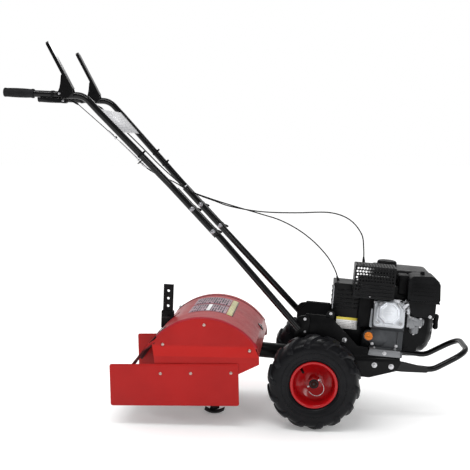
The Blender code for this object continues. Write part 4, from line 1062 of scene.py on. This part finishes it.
def carburettor():
    """A simple body and bowl, with the levers, rods and spring of the governor."""
    carb = Shape(CHASSIS)
    carb.block((54, 40, 36), (353, -128, 240), 6, 3)
    carb.lathe(mm((0, -16), (10, -16), (15, -13.5), (17.5, -8), (18, 10), (20, 10.5), (20, 14)),
        move(0.352, -0.128, 0.209), 36)
    carb.lathe(mm((15, 0), (15, 4), (16.5, 4), (16.5, 7), (12, 7)),
        move(0.378, -0.128, 0.244) @ ALONG_X, 32)
    carb.block((10, 52, 52), (327, -124, 244), 3)
    carb.box((0.03, 0.006, 0.012), move(0.349, -0.15, 0.252) @ turn(20, "Y"), 0.0015)
    carb.box((0.02, 0.004, 0.034), move(0.337, -0.15, 0.233) @ turn(-24, "Y"), 0.0012)
    carb.done("carburettor_cast", dull_casting, "carburettor")
    bits = Shape(CHASSIS)
    bits.hex_bolt(move(0.352, -0.1285, 0.1935) @ turn(180, "X"), 0.0052)
    for along, up in mm((334, 256), (371, 256), (334, 226), (371, 224)):
        bits.dome_bolt(facing(along, -0.1485, up), 0.0042)
    bits.hex_bolt(facing(0.402, -0.166, 0.268), 0.0042)
    bits.tube(smooth_path(mm((325, -150, 300), (318, -153, 282), (330, -154, 262),
        (345, -153, 255)), 0.003), 0.0012, 8)
    spring = [(0.3 + 0.00055 * step, -0.15 + 0.0032 * math.cos(step * 0.9),
        0.312 + 0.0032 * math.sin(step * 0.9)) for step in range(90)]
    bits.tube(spring, 0.0006, 6)
    bits.done("carburettor_fittings", bolt_zinc)
    levers = Shape(CHASSIS)
    outline = softened(mm((296, 296), (345, 318), (350, 310), (306, 284)), 0.004)
    levers.slab(outline, 0.002, -0.146, 0.0005)
    outline = softened(mm((318, 268), (322, 300), (332, 300), (330, 266)), 0.004)
    levers.slab(outline, 0.002, -0.149, 0.0005)
    levers.block((34, 2, 12), (272, -156, 313), 0.6)
    for start, end in (((0.262, -0.15, 0.3), (0.296, -0.15, 0.318)),
            ((0.29, -0.152, 0.286), (0.312, -0.152, 0.322)),
            ((0.302, -0.15, 0.272), (0.33, -0.15, 0.292))):
        levers.tube([start, end], 0.0013, 8)
    levers.done("governor_levers", zinc)


def oil_cap():
    """The ribbed filler cap with its finger bar, and two small screws."""
    cap = Shape(CHASSIS @ move(0.19, -0.1153, 0.166) @ outward(-1))
    cap.lathe(mm((14.8, 0), (15, 2), (15, 10), (13.8, 11.5), (10.4, 12), (9.8, 13.5), (9.6, 19),
        (8.5, 20), (0, 20)), steps=96, wave=lambda angle, index: 1
        + (0.05 * math.cos(10 * angle) if index in (1, 2, 3) else 0))
    cap.block((19, 6.2, 7), (0, 0, 16.5), 1.8)
    cap.done("oil_filler_cap", orange_plastic, "oil_cap", body="oil_plug", angle=40)
    small = Shape(CHASSIS)
    small.dome_bolt(facing(0.176, -0.183, 0.3265), 0.0036)
    small.dome_bolt(facing(0.2, -0.1365, 0.3), 0.0036)
    small.done("guard_screws", bolt_zinc)


shroud_plate()
muffler_guard()
fan_housing()
starter()
air_cleaner()
fuel_tank()
carburettor()
oil_cap()

# Tiller ---------------------------------------------------------------------------------------

BOARD_FACE, CHEEK_FACE = 0.2686, 0.2639


def tiller_point(x, z):
    """A machine-frame place read in the leaning tiller frame."""
    place = TILLER.inverted() @ (MACHINE @ Vector((x, 0, z)))
    return (place.x, place.z)


def swept_sheet(shape, section, start, end, steps):
    """A closed section of (radius, across) swept round the hood's axis."""
    shape.loft([[(radius * x, across, radius * z) for radius, across in section]
        for x, z in arc((0, 0), 1, start, end, steps)], HOOD)


def hood():
    """The curved top sheet with its slot for the stake, its front lip and its two sides."""
    edge, slot, wall = 0.259, 0.0185, 0.0025
    front, split, rear = 36.0, 121.0, 135.0
    outer, inner = HOOD_RADIUS - 0.0006, HOOD_RADIUS - 0.0031
    top = Shape()
    for near, far, first, last, steps in ((-edge, edge, front, split, 60),
            (-edge, -slot, split, rear, 12), (slot, edge, split, rear, 12)):
        swept_sheet(top, [(outer, near), (outer, far), (inner, far), (inner, near)], first, last,
            steps)
    angle = math.radians(front)
    x, z = HOOD_X + outer * math.cos(angle), HOOD_Z + outer * math.sin(angle)
    foot, lip = Vector((-0.1985, 0.2725)), Vector((-0.212, 0.266))
    outline = [(x, z), foot, lip, (lip.x + 0.001, lip.y + wall), (foot.x - wall, foot.y + 0.0015),
        (x - wall * 0.8, z - wall * 0.6)]
    top.prism(outline, 2 * edge, MACHINE @ SIDEWAYS)
    top.done("hood_sheet", hood_paint, "hood_top", angle=34)
    for side, sign in SIDES.items():
        hood_side(side, sign)


def hood_side(side, sign):
    """The pressed side plate: its arc is flanged over the top sheet in a rounded roll."""
    centre = tiller_point(HOOD_X, HOOD_Z)
    rear = [tiller_point(-0.583, 0.236), tiller_point(-0.594, 0.318)]
    edge = arc(centre, HOOD_RADIUS - 0.006, 139.5, 36.0, 48)
    front = [tiller_point(-0.1985, 0.2655), tiller_point(-0.1985, 0.239),
        tiller_point(-0.301, 0.189), tiller_point(-0.575, 0.189)]
    plate = Shape(TILLER).slab(rear + edge + front, 0.0024, sign * 0.2625, 0.0004)
    roll = Shape()
    section = mm((9, 263.7), (5.2, 263.2), (2.5, 261.8), (0.8, 259.6), (0, 256.8), (0, 246),
        (0.8, 245.5), (1.6, 256), (3.4, 259), (9, 261.2))
    swept_sheet(roll, [(HOOD_RADIUS - inset, sign * across) for inset, across in section], 136.0,
        33.0, 60)
    roll.done("hood_roll_" + side, hood_paint, angle=50)
    plate.done("hood_cheek_" + side, side_paint, "hood_side_" + side, angle=30, slot="red_paint")


def pressed_paint():
    """The red coat with the two long shallow creases pressed into the side plates, and a painted
    highlight: a lighter red band between the creases.
    """
    look = Look("red_side_coat_and_painted_highlight", RED, 0.36, Specular_IOR_Level=0.15, Coat_Weight=0.05,
        Coat_Roughness=0.12)
    up = look.node("SeparateXYZ", {0: look.place}).outputs[2]
    low = look.spread(up, 0.0, 1.0, 0.262, 0.266)
    band = look.math("MULTIPLY", low, look.spread(up, 1.0, 0.0, 0.3, 0.309))
    tone = look.mottled(7.0, darker(RED, 0.84), RED)
    # Painted highlight: the band between the two creases gets a lighter red.
    look.set("Base Color", look.blend(band, tone, (0.435, 0.0095, 0.007)))
    look.gloss(0.3, 0.44, 22.0)
    height = look.math("MULTIPLY", look.noise(650.0, 2.0), 0.02)
    for level in (0.307, 0.266):
        step = look.spread(up, 0.0, 1.0, level - 0.004, level + 0.004)
        height = look.math("ADD", height, look.math("MULTIPLY", step, 0.9))
    look.bump(height, 0.35, 0.0012)
    return look.material


side_paint = pressed_paint()
hood()
dress("side_board_right", red_paint, 0.0009)
dress("side_board_left", red_paint, 0.0009)


def flap_paint_with_shade():
    """Red outside, with painted shade: dark maroon on the side that faces the tines."""
    look = Look("rear_flap_coat_and_painted_shade", RED, 0.38, Specular_IOR_Level=0.15)
    facing = look.node("TexCoord").outputs["Normal"]
    inward = look.node("VectorMath", {0: facing, 1: (0.752, 0.0, -0.659)},
        operation="DOT_PRODUCT").outputs["Value"]
    cloud = look.spread(look.noise(14.0, 4.0, 0.6), 0.0, 1.0)
    outside = look.blend(cloud, darker(RED, 0.84), RED)
    # Painted shade: the side that faces the tines is dark maroon.
    inside = look.blend(cloud, (0.03, 0.004, 0.006), (0.075, 0.007, 0.009))
    look.set("Base Color", look.blend(look.spread(inward, 0.0, 1.0, -0.2, 0.2), outside, inside))
    look.gloss(0.32, 0.5, 22.0)
    look.bump(look.noise(650.0, 2.0), 0.05, 0.0006)
    return look.material


dress("rear_flap", flap_paint_with_shade(), 0.0006)
dress("depth_stake", black_paint, 0.0007)
dress("stake_bracket", black_paint, 0.0012)


def tiller_bolts():
    """Coach bolts in their dimples, the hood's clips on plates, and the far seam, a raised strip in
    dark maroon as painted shade.
    """
    bolts, rings, clips, plates, seam = Shape(), Shape(), Shape(HOOD), Shape(HOOD), Shape()
    for side, sign in SIDES.items():
        for x, z, face in ((-0.2787, 0.1995, BOARD_FACE), (-0.1667, 0.2028, BOARD_FACE),
                (-0.0187, 0.2072, BOARD_FACE), (-0.27, 0.308, CHEEK_FACE),
                (-0.1172, 0.3826, CHEEK_FACE), (0.0491, 0.2897, CHEEK_FACE)):
            seat = facing(x, sign * face, z, sign)
            bolts.dome_bolt(seat, 0.0058)
            rings.lathe(mm((6.2, 0.6), (8.5, 0.4), (10, 0)), seat, 28)
    for across, angle in ((0.062, 37.5), (0.232, 130.0), (-0.232, 130.0)):
        seat = turn(90 - angle, "Y") @ move(0, across, HOOD_RADIUS - 0.0004)
        clips.hex_bolt(seat @ move(0, 0, 0.0015), 0.006)
        plates.box((0.03, 0.024, 0.0028), seat @ move(0.004, 0, 0.0006), 0.001)
    # Painted shade: the far seam is a raised strip in dark maroon that stands for a shade line.
    swept_sheet(seam, [(HOOD_RADIUS - 0.0004, 0.219), (HOOD_RADIUS + 0.0008, 0.22),
        (HOOD_RADIUS + 0.0008, 0.225), (HOOD_RADIUS - 0.0004, 0.226)], 133.0, 37.0, 60)
    bolts.done("tiller_bolts", warm_zinc)
    rings.done("tiller_bolt_dimples", red_paint)
    clips.done("hood_clips", bolt_zinc)
    plates.done("hood_clip_plates", black_paint)
    seam.done("hood_seam_painted_shade", flap_shade)


tiller_bolts()


def hood_decal():
    """The printed panel on the hood: two columns of generic lines with a pale yellow end."""
    main = printed("hood_decal_print", (0.4, 0.26, 0.3), (0.01, 0.016, 0.028), 15, 5.0, gaps=0.58)
    strip = printed("hood_decal_strip_print", (0.6, 0.56, 0.3), (0.3, 0.29, 0.2), 4, 14.0, gaps=0.3)
    dark = moulded("hood_decal_edge", (0.1, 0.075, 0.08), 0.4, 500.0, 0.03)
    white = moulded("hood_decal_white", (0.78, 0.78, 0.78), 0.4, 500.0, 0.03)
    radius = HOOD_RADIUS + 0.0004

    def on_hood(first, last, near, far, lift=0.0):
        def point(u, v):
            angle = math.radians(first + (last - first) * v)
            return HOOD @ Vector((radius * math.cos(angle), near + (far - near) * u,
                radius * math.sin(angle) + lift))
        return point

    for name, area, rows, look, slot in (("near", (107.0, 72.5, -0.135, 0.008), 40, main,
            "panel_grey"), ("far", (107.0, 72.5, 0.022, 0.165), 40, main, "panel_grey"),
            ("strip", (71.8, 66.6, -0.135, 0.165), 8, strip, "panel_grey"),
            ("end", (66.4, 65.6, -0.135, 0.165), 3, dark, "black_plastic"),
            ("note", (91.0, 87.6, -0.125, 0.002, 0.0004), 4, white, "panel_grey")):
        patch("hood_decal_" + name, on_hood(*area), 4, rows, look, "machine")


hood_decal()


def flap_detail():
    """Rolled lower edge, hinge barrels and stiffening lips of the rear flap; the edge and lips are
    dark maroon as painted shade.
    """
    pivot = MACHINE @ Vector((-0.586, 0, 0.312))
    angle = math.radians(230.2 + 1.2)
    down = Vector((math.cos(angle), 0, math.sin(angle)))
    away = Vector((down.z, 0, -down.x))
    place = Matrix(((down.x, 0, away.x, pivot.x), (0, 1, 0, pivot.y), (down.z, 0, away.z, pivot.z),
        (0, 0, 0, 1)))
    trim = Shape(place)
    trim.tube(mm((239.5, -253.5, 13.5), (239.5, 253.5, 13.5)), 0.0028, 14)
    lip = mm((20, 15), (239.5, 15), (239.5, -4), (190, -3), (20, 9))
    for sign in (-1, 1):
        trim.slab(lip, 0.0022, sign * 0.2518, 0.0006)
    # Painted shade: the rolled edge and lips are dark maroon.
    trim.done("rear_flap_edges_painted_shade", flap_shade, body="flap")
    beads = Shape(place)
    for across in (-0.15, 0.15):
        beads.box((0.18, 0.012, 0.0028), move(0.135, across, 0.0142), 0.001)
    beads.done("rear_flap_beads", red_paint, body="flap")
    pins = Shape(place)
    for sign in (-1, 1):
        pins.lathe(mm((0, 5.2), (5, 4.8), (6.2, 3), (6.2, 0)),
            move(0, sign * 0.25, 0) @ turn(90 * sign, "X"), 20)
    pins.done("flap_pin_heads", bolt_zinc, body="flap")


def stake_detail():
    """Clamp screw and foot of the stake's sleeve."""
    clamp = Shape(STAKE)
    clamp.lathe(mm((0, 26), (4, 26), (4.5, 24), (4.5, 0)), facing(0, -0.0131, -0.125), 16)
    clamp.block((30, 5, 5), (0, -38.5, -125), 1.8)
    clamp.hex_bolt(facing(0, 0.0131, -0.14, 1), 0.0065)
    clamp.done("stake_clamp", dark_steel)
    Shape(STAKE).box((0.07, 0.052, 0.003), move(0.006, 0, -0.17) @ turn(-34, "Y"),
        0.0008).done("stake_foot", black_paint)


flap_detail()
stake_detail()

TINE_RADIUS = 0.1745


def tine_set(name, sign, across, count, phase):
    """Forged blades: a flat shank that widens and curls outwards into a curved foot."""
    body = Shape(move(AXLE_X + ROTOR_X, sign * across, ROTOR_Z))
    body.lathe(mm((13, 17), (22.5, 17), (24, 15.5), (24, -15.5), (22.5, -17), (13, -17)),
        outward(sign), 40, loop=True)
    body.lathe(mm((13, 4.2), (33.5, 4.2), (34.5, 3), (34.5, -3), (33.5, -4.2), (13, -4.2)),
        outward(sign), 48, loop=True)
    blade = softened(mm((24, -16), (70, -17), (118, -12), (150, -4), (166, -10), (169, 10),
        (164, 30), (140, 26), (105, 18), (60, 19), (24, 17)), 0.006, 3)
    section = mm((0, -2), (0, 33.5), (5.2, 32.5), (5.8, -2))
    steps = 12
    for index in range(count):
        at = turn(90 - phase - 360 * index / count, "Y")
        body.prism(blade, 0.0058, at @ SIDEWAYS, 0.0012)
        rings = []
        for step in range(steps + 1):
            reach = TINE_RADIUS - 0.012 * (2 * step / steps - 1) ** 2
            rings.append([(reach - inward, sign * out, -0.026 + 0.076 * step / steps)
                for inward, out in section])
        body.loft(rings, at)
    body.done(name + "_forged", tine_steel, name, body="rotor", angle=32)


for side, sign in SIDES.items():
    tine_set("tines_inner_" + side, sign, 0.0565, 3, 0.0)
    tine_set("tines_outer_" + side, sign, 0.18, 2, 112.0)

# Handlebar ------------------------------------------------------------------------------------

GRIP_Y, TUBE = 0.204, 0.0125


def along_bar(x):
    """The height of the straight upper bars."""
    return 0.698 + (x + 0.366) * (1.213 - 0.698) / (-0.846 + 0.366)


BAR_SLOPE = math.degrees(math.atan2(along_bar(-1.0) - along_bar(0.0), -1.0))


def handle_tubes():
    """Lower and upper bars with their end plugs, and the grips."""
    for side, sign in SIDES.items():
        lower = filleted([(-0.056, 0.166, 0.3545), (-0.335, 0.1165, 0.664), (-0.38, 0.1125, 0.713),
            (-0.522, 0.1125, along_bar(-0.522))], 0.15, 6)
        upper = [(-0.366, 0.139, 0.698), (-0.54, 0.139, along_bar(-0.54)),
            (-0.79, 0.203, along_bar(-0.79)), (-0.846, GRIP_Y, 1.213), (-1.14, GRIP_Y, 1.2275)]
        upper = filleted(upper[:3], 0.12, 6)[:-1] + filleted(upper[2:], 0.07, 12)
        for part, path, body in (("lower", lower, "machine"), ("upper", upper, "handlebar")):
            bar = Shape(MACHINE).tube([(x, sign * y, z) for x, y, z in path], TUBE, 28)
            bar.done(f"{part}_bar_{side}", tube_paint, f"handle_{part}_{side}", body=body, angle=40)
        seat = move(-0.522, sign * 0.1125, along_bar(-0.522)) @ turn(90 - BAR_SLOPE, "Y")
        end = Shape(MACHINE).lathe(mm((0, 4), (11, 3.4), (12.9, 1.5), (12.9, -0.8)), seat, 28)
        end.done("bar_plug_" + side, plug_plastic)
        seat = move(-0.366, sign * 0.139, 0.698) @ turn(270 - BAR_SLOPE, "Y")
        end = Shape(MACHINE).lathe(mm((0, 1.8), (11, 1.6), (12.6, 0.4), (12.6, -0.8)), seat, 28)
        end.done("bar_end_" + side, black_plastic, body="handlebar")
        grip(side, sign)


def grip(side, sign):
    """A soft grip with a thumb flange and fine lengthwise ribs."""
    slope = math.degrees(math.atan2(1.2275 - 1.213, 1.14 - 0.846))
    at = MACHINE @ move(-1.144, sign * GRIP_Y, 1.2277) @ turn(-90 + slope, "Y")
    length = 0.112
    profile = [(0.0, 0.0019), (0.012, 0.0019), (0.0158, 0.0005), (0.0168, -0.003), (0.017, -0.006),
        (0.0158, -0.0085), (0.016, -0.012), (0.0166, -0.03), (0.017, -0.05), (0.0166, -0.08),
        (0.0158, -0.096), (0.0157, -0.101), (0.017, -0.1045), (0.0174, -0.107),
        (0.0172, -length + 0.001), (0.0162, -length), (0.0128, -length)]
    Shape(at).lathe(profile, steps=108, wave=lambda angle, index: 1
        + (0.02 * math.cos(27 * angle) if 6 <= index <= 10 else 0)).done("soft_grip_" + side,
        grip_rubber, "grip_" + side, body="handlebar", angle=60)


def levers():
    """The squeeze levers: a folded channel with a rounded end on two cheeks."""
    foot, top = Vector((-0.8887, 0, 1.236)), Vector((-0.9785, 0, 1.409))
    along = (top - foot).normalized()
    back = Vector((-along.z, 0, along.x))
    steps, half, depth, wall = 26, 0.0175, 0.0118, 0.0022
    cheek = softened(mm((-946, 1212), (-940, 1226), (-933, 1240), (-929, 1260), (-926.2, 1290),
        (-919, 1288), (-884.5, 1233), (-880, 1207), (-905, 1203)), 0.006, 4)
    for side, body in (("right", "clutch_lever"), ("left", "throttle_lever")):
        arm, screw, clip = (Shape(MACHINE @ move(0, SIDES[side] * GRIP_Y, 0)) for _ in range(3))
        rings = []
        for step in range(steps + 1):
            share = step / steps
            end = max(0.0, share - 0.93) / 0.07
            width = half * math.sqrt(max(0.02, 1 - end ** 2 * 0.92))
            centre = foot + along * (top - foot).length * share
            section = [(-width, depth), (-width, 0.002), (-width + 0.002, 0.0),
                (width - 0.002, 0.0), (width, 0.002), (width, depth), (width - wall, depth),
                (width - wall, wall), (-width + wall, wall), (-width + wall, depth)]
            rings.append([centre + back * (behind - 0.0055) + Vector((0, across, 0))
                for across, behind in section])
        arm.loft(rings)
        for out in (-1, 1):
            arm.slab(cheek, 0.0028, out * 0.0158, 0.0006)
            screw.hex_bolt(facing(-0.934, out * 0.0173, 1.2205, out), 0.0031)
        arm.done("squeeze_lever_" + side, tube_paint, "lever_" + side, body=body, angle=32)
        screw.done("lever_pivot_" + side, bolt_zinc, body=body)
        clip.box((0.01, 0.012, 0.006), move(-0.9555, 0, 1.2285) @ turn(30, "Y"), 0.0015)
        clip.lathe(mm((12.7, -5), (14.2, -5), (14.2, 5), (12.7, 5)),
            move(-0.962, 0, 1.2187) @ ALONG_X, 28, loop=True)
        clip.done("lever_stop_" + side, black_plastic, body="handlebar")


def under_lever():
    """The small latch lever under the right bar."""
    place = MACHINE @ move(0, -GRIP_Y, 0)
    bar = Shape(place)
    outline = softened(mm((-1012, 1208), (-1011, 1202.5), (-975, 1195.5), (-935, 1187.5),
        (-914, 1185.5), (-906, 1190), (-908, 1199), (-925, 1203.5)), 0.005, 4)
    bar.slab(outline, 0.018, 0, 0.0022, 3)
    bar.done("latch_bar", black_plastic, "under_lever", body="latch_lever", angle=34)
    screw = Shape(place)
    for out in (-1, 1):
        screw.hex_bolt(facing(-0.922, out * 0.0091, 1.1945, out), 0.003)
    screw.done("latch_pivot", bolt_zinc, body="latch_lever")


def joint_hardware():
    """Carriage bolts through the doubled tubes, with wing knobs on the other side, and clips."""
    heads, knobs, clips = (Shape(MACHINE) for _ in range(3))
    for head_y, knob_y in ((-0.1515, -0.0998), (0.0997, 0.1516)):
        for x in (-0.38, -0.458):
            head_at = facing(x, head_y, along_bar(x))
            heads.dome_bolt(head_at, 0.0078)
            heads.lathe(mm((7.8, 0), (9.2, -0.6), (9.6, -1.6)), head_at, 28)
            knob_at = facing(x, knob_y, along_bar(x), 1)
            knobs.lathe(mm((0, 24), (7, 24), (8.5, 22.5), (9.5, 12), (12, 2), (12, 0)), knob_at, 28)
            for wing in (20, 200):
                knobs.tube(mm((4, 0, 12), (14, 0, 15), (24, 0, 21), (28, 0, 23.5)),
                    [0.0062, 0.0056, 0.005, 0.0028], 12, at=knob_at @ turn(wing, "Z"))
    for x, y in mm((-645, -166), (-610, 157), (-650, 167)):
        seat = move(x, y, along_bar(x)) @ turn(90 - BAR_SLOPE, "Y")
        clips.lathe(mm((12.6, -4), (13.8, -4), (13.8, 4), (12.6, 4)), seat, 28, loop=True)
        clips.box((0.009, 0.006, 0.007), seat @ move(0.0165, 0, 0), 0.0015)
    heads.done("handle_bolts", dull_zinc, body="handlebar")
    knobs.done("wing_knobs", black_plastic, body="handlebar")
    clips.done("cable_clips", black_plastic, body="handlebar")


handle_tubes()
levers()
under_lever()
joint_hardware()


def panel():
    """The plate between the bars, printed with generic rows, on two straps."""
    dress("instruction_panel", panel_grey, 0.0004)
    rear, front = -0.796, -0.721
    print_look = printed("panel_print", (0.56, 0.56, 0.57), (0.36, 0.36, 0.38), 12, 12.0)
    normal = Vector((along_bar(0) - along_bar(1), 0, 1)).normalized()
    lift = normal * 0.0018 + Vector((0, 0, 0.004))

    def point(u, v):
        x = rear + (front - rear) * v
        half = 0.18 + (0.16 - 0.18) * v
        return MACHINE @ (Vector((x, -half + 2 * half * u, along_bar(x))) + lift)
    patch("panel_sheet", point, 2, 2, print_look, "handlebar")
    rivets = Shape(MACHINE)
    for x, half in ((-0.789, 0.174), (-0.729, 0.158)):
        for sign in (-1, 1):
            spot = Vector((x, sign * half, along_bar(x))) + lift
            seat = move(*spot) @ turn(math.degrees(math.atan2(normal.x, normal.z)), "Y")
            rivets.dome_bolt(seat, 0.004)
    rivets.done("panel_rivets", bolt_zinc, body="handlebar")
    dress("cable_bracket", black_paint, 0.0004)


panel()

# Cables ---------------------------------------------------------------------------------------

BRACKET = (-0.648, -0.166, 0.972)
CLUTCH_ROUTE = [(-0.873, -0.186, 1.183), (-0.79, -0.184, 1.11), (-0.716, -0.176, 1.042),
    (-0.668, -0.168, 0.994), BRACKET, (-0.627, -0.158, 0.951), (-0.59, -0.11, 0.921),
    (-0.552, 0.0, 0.893), (-0.515, 0.045, 0.866), (-0.47, 0.062, 0.843), (-0.357, 0.056, 0.806),
    (-0.211, 0.03, 0.766), (-0.137, 0.018, 0.744), (-0.068, 0.004, 0.71), (-0.012, 0.0, 0.669),
    (0.03, -0.008, 0.628), (0.058, -0.012, 0.592), (0.08, -0.02, 0.55), (0.089, -0.028, 0.5195)]
THROTTLE_ROUTE = mm((-873, 182, 1183), (-790, 180, 1104), (-700, 150, 1022), (-620, 110, 950),
    (-555, 92, 895), (-507, 88, 858), (-459, 87, 834), (-400, 86, 813), (-346, 84, 794),
    (-274, 76, 780), (-209, 60, 773), (-138, 44, 771), (-60, 18, 773), (55, -30, 778),
    (128, -68, 755), (172, -98, 704), (180, -113, 650), (180, -122, 604.5))


def clutch_fittings():
    """Adjuster collars, nuts and the return spring on the clutch cable's upper end."""
    upper = [point for point in smooth_path(CLUTCH_ROUTE, 0.004) if point.y < -0.1]
    fittings = Shape(MACHINE)
    for x, length, radius, sides in ((-0.752, 0.026, 0.0036, 16), (-0.737, 0.008, 0.0066, 6),
            (-0.664, 0.018, 0.003, 16), (-0.6535, 0.005, 0.006, 6), (-0.642, 0.005, 0.006, 6),
            (-0.632, 0.018, 0.0036, 16)):
        near = min(range(len(upper) - 1), key=lambda index: abs(upper[index].x - x))
        ahead = (upper[near + 1] - upper[near]).normalized()
        fittings.tube([upper[near] - ahead * length / 2, upper[near] + ahead * length / 2], radius,
            sides)
    inside = [point for point in upper if -0.722 < point.x < -0.668]
    spring, turns = [], 10
    for index, (here, after) in enumerate(zip(inside, inside[1:])):
        ahead = (after - here).normalized()
        side = ahead.orthogonal().normalized()
        other = ahead.cross(side)
        for step in range(turns):
            angle = (index * turns + step) * 0.8
            spring.append(here.lerp(after, step / turns)
                + (side * math.cos(angle) + other * math.sin(angle)) * 0.0026)
    fittings.tube(spring, 0.0005, 6)
    fittings.done("clutch_adjuster", bolt_zinc, body="handlebar")


def cables():
    """The sheaths follow their routes from the handlebar down to the engine; the bare wire and its
    fittings sit at the bracket.
    """
    radius = 0.0024
    for name, route, node in (("clutch_sheath", CLUTCH_ROUTE, "clutch_cable"),
            ("throttle_sheath", THROTTLE_ROUTE, "throttle_cable")):
        path = smooth_path(route, 0.009)
        if name == "clutch_sheath":
            bare = [point for point in path if point.x < BRACKET[0] and point.y < -0.1]
            path = path[len(bare) - 1:]
            Shape(MACHINE).tube(bare, [0.0015 if point.x < -0.735 else 0.0009 for point in bare],
                10).done("clutch_wire", cable_jacket, node, body="handlebar", angle=40)
        sheath = Shape(MACHINE).tube(path, radius, 10)
        made = sheath.done(name, cable_jacket, node, body=None, angle=40)
        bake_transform(made)
        route = [MACHINE @ point for point in path]
    clutch_fittings()
    ends, boots = Shape(MACHINE), Shape(MACHINE)
    for route in (CLUTCH_ROUTE, THROTTLE_ROUTE):
        start, before, last = (Vector(route[index]) for index in (0, -2, -1))
        ends.tube([start, start + Vector((-0.022, 0, 0.012)),
            (-0.915, math.copysign(0.1885, start.y), 1.208)], [0.0034, 0.0034, 0.0022], 12)
        ahead = (last - before).normalized()
        boots.tube([last - ahead * 0.016, last - ahead * 0.004, last + ahead * 0.004],
            [0.003, 0.005, 0.0054], 16)
    ends.done("cable_ends", black_plastic, body="handlebar")
    boots.done("cable_boots", black_plastic)


cables()

# Floor, light and background ------------------------------------------------------------------


def stage():
    """White floor, a studio world that is plain white to the camera, and three soft boxes."""
    bm = bmesh.new()
    bmesh.ops.create_grid(bm, x_segments=1, y_segments=1, size=40)
    bmesh.ops.translate(bm, vec=(0, 0, -0.0006), verts=bm.verts)
    mesh = bpy.data.meshes.new("floor")
    bm.to_mesh(mesh)
    bm.free()
    white = Look("floor_white", (0.93, 0.93, 0.93), 0.9, Specular_IOR_Level=0.0,
        Emission_Color=(1, 1, 1, 1), Emission_Strength=0.16)
    mesh.materials.append(white.material)
    add_object("floor", mesh)
    for name, place, height, size, power in (("key", (-0.8, -1.6, 3.6), 0.5, (2.8, 0.4), 46),
            ("fill", (1.9, -3.6, 1.7), 0.5, (0.5, 1.6), 16),
            ("back", (0.5, 3.0, 2.6), 0.4, (2.4, 0.5), 18)):
        data = bpy.data.lights.new(name, "AREA")
        data.shape = "RECTANGLE"
        data.size, data.size_y = size
        data.energy = power
        lamp = add_object(name, data)
        lamp.location = place
        lamp.rotation_mode = "QUATERNION"
        aim = Vector((0, 0, height)) - Vector(place)
        lamp.rotation_quaternion = aim.to_track_quat("-Z", "Y")
    scene.view_settings.view_transform = "Standard"
    scene.view_settings.exposure = 0.0


def studio():
    """Brighter to the rear than to the front, and dimmer in reflections."""
    world = bpy.data.worlds.new("studio")
    scene.world = world
    world.use_nodes = True
    tree = world.node_tree
    tree.nodes.clear()

    def node(kind, inputs=None, **settings):
        made = tree.nodes.new("ShaderNode" + kind)
        for name, value in settings.items():
            setattr(made, name, value)
        for key, value in (inputs or {}).items():
            if isinstance(value, bpy.types.NodeSocket):
                tree.links.new(value, made.inputs[key])
            else:
                made.inputs[key].default_value = value
        return made.outputs

    parts = node("SeparateXYZ", {0: node("TexCoord")["Generated"]})
    ramp = node("MapRange", {"From Min": -0.35, "From Max": 0.45, "To Min": 0.7, "To Max": 1.3,
        "Value": parts[1]}, interpolation_type="SMOOTHSTEP")[0]
    path = node("LightPath")
    dimmed = node("Math", {0: path["Is Glossy Ray"], 1: -0.62, 2: 1.0}, operation="MULTIPLY_ADD")[0]
    level = node("Math", {0: ramp, 1: dimmed}, operation="MULTIPLY")[0]
    light = node("Background", {"Color": (1, 1, 1, 1), "Strength": level})[0]
    seen = node("Background", {"Color": (1, 1, 1, 1)})[0]
    mix = node("MixShader", {0: path["Is Camera Ray"], 1: light, 2: seen})[0]
    tree.links.new(mix, tree.nodes.new("ShaderNodeOutputWorld").inputs[0])


stage()
studio()
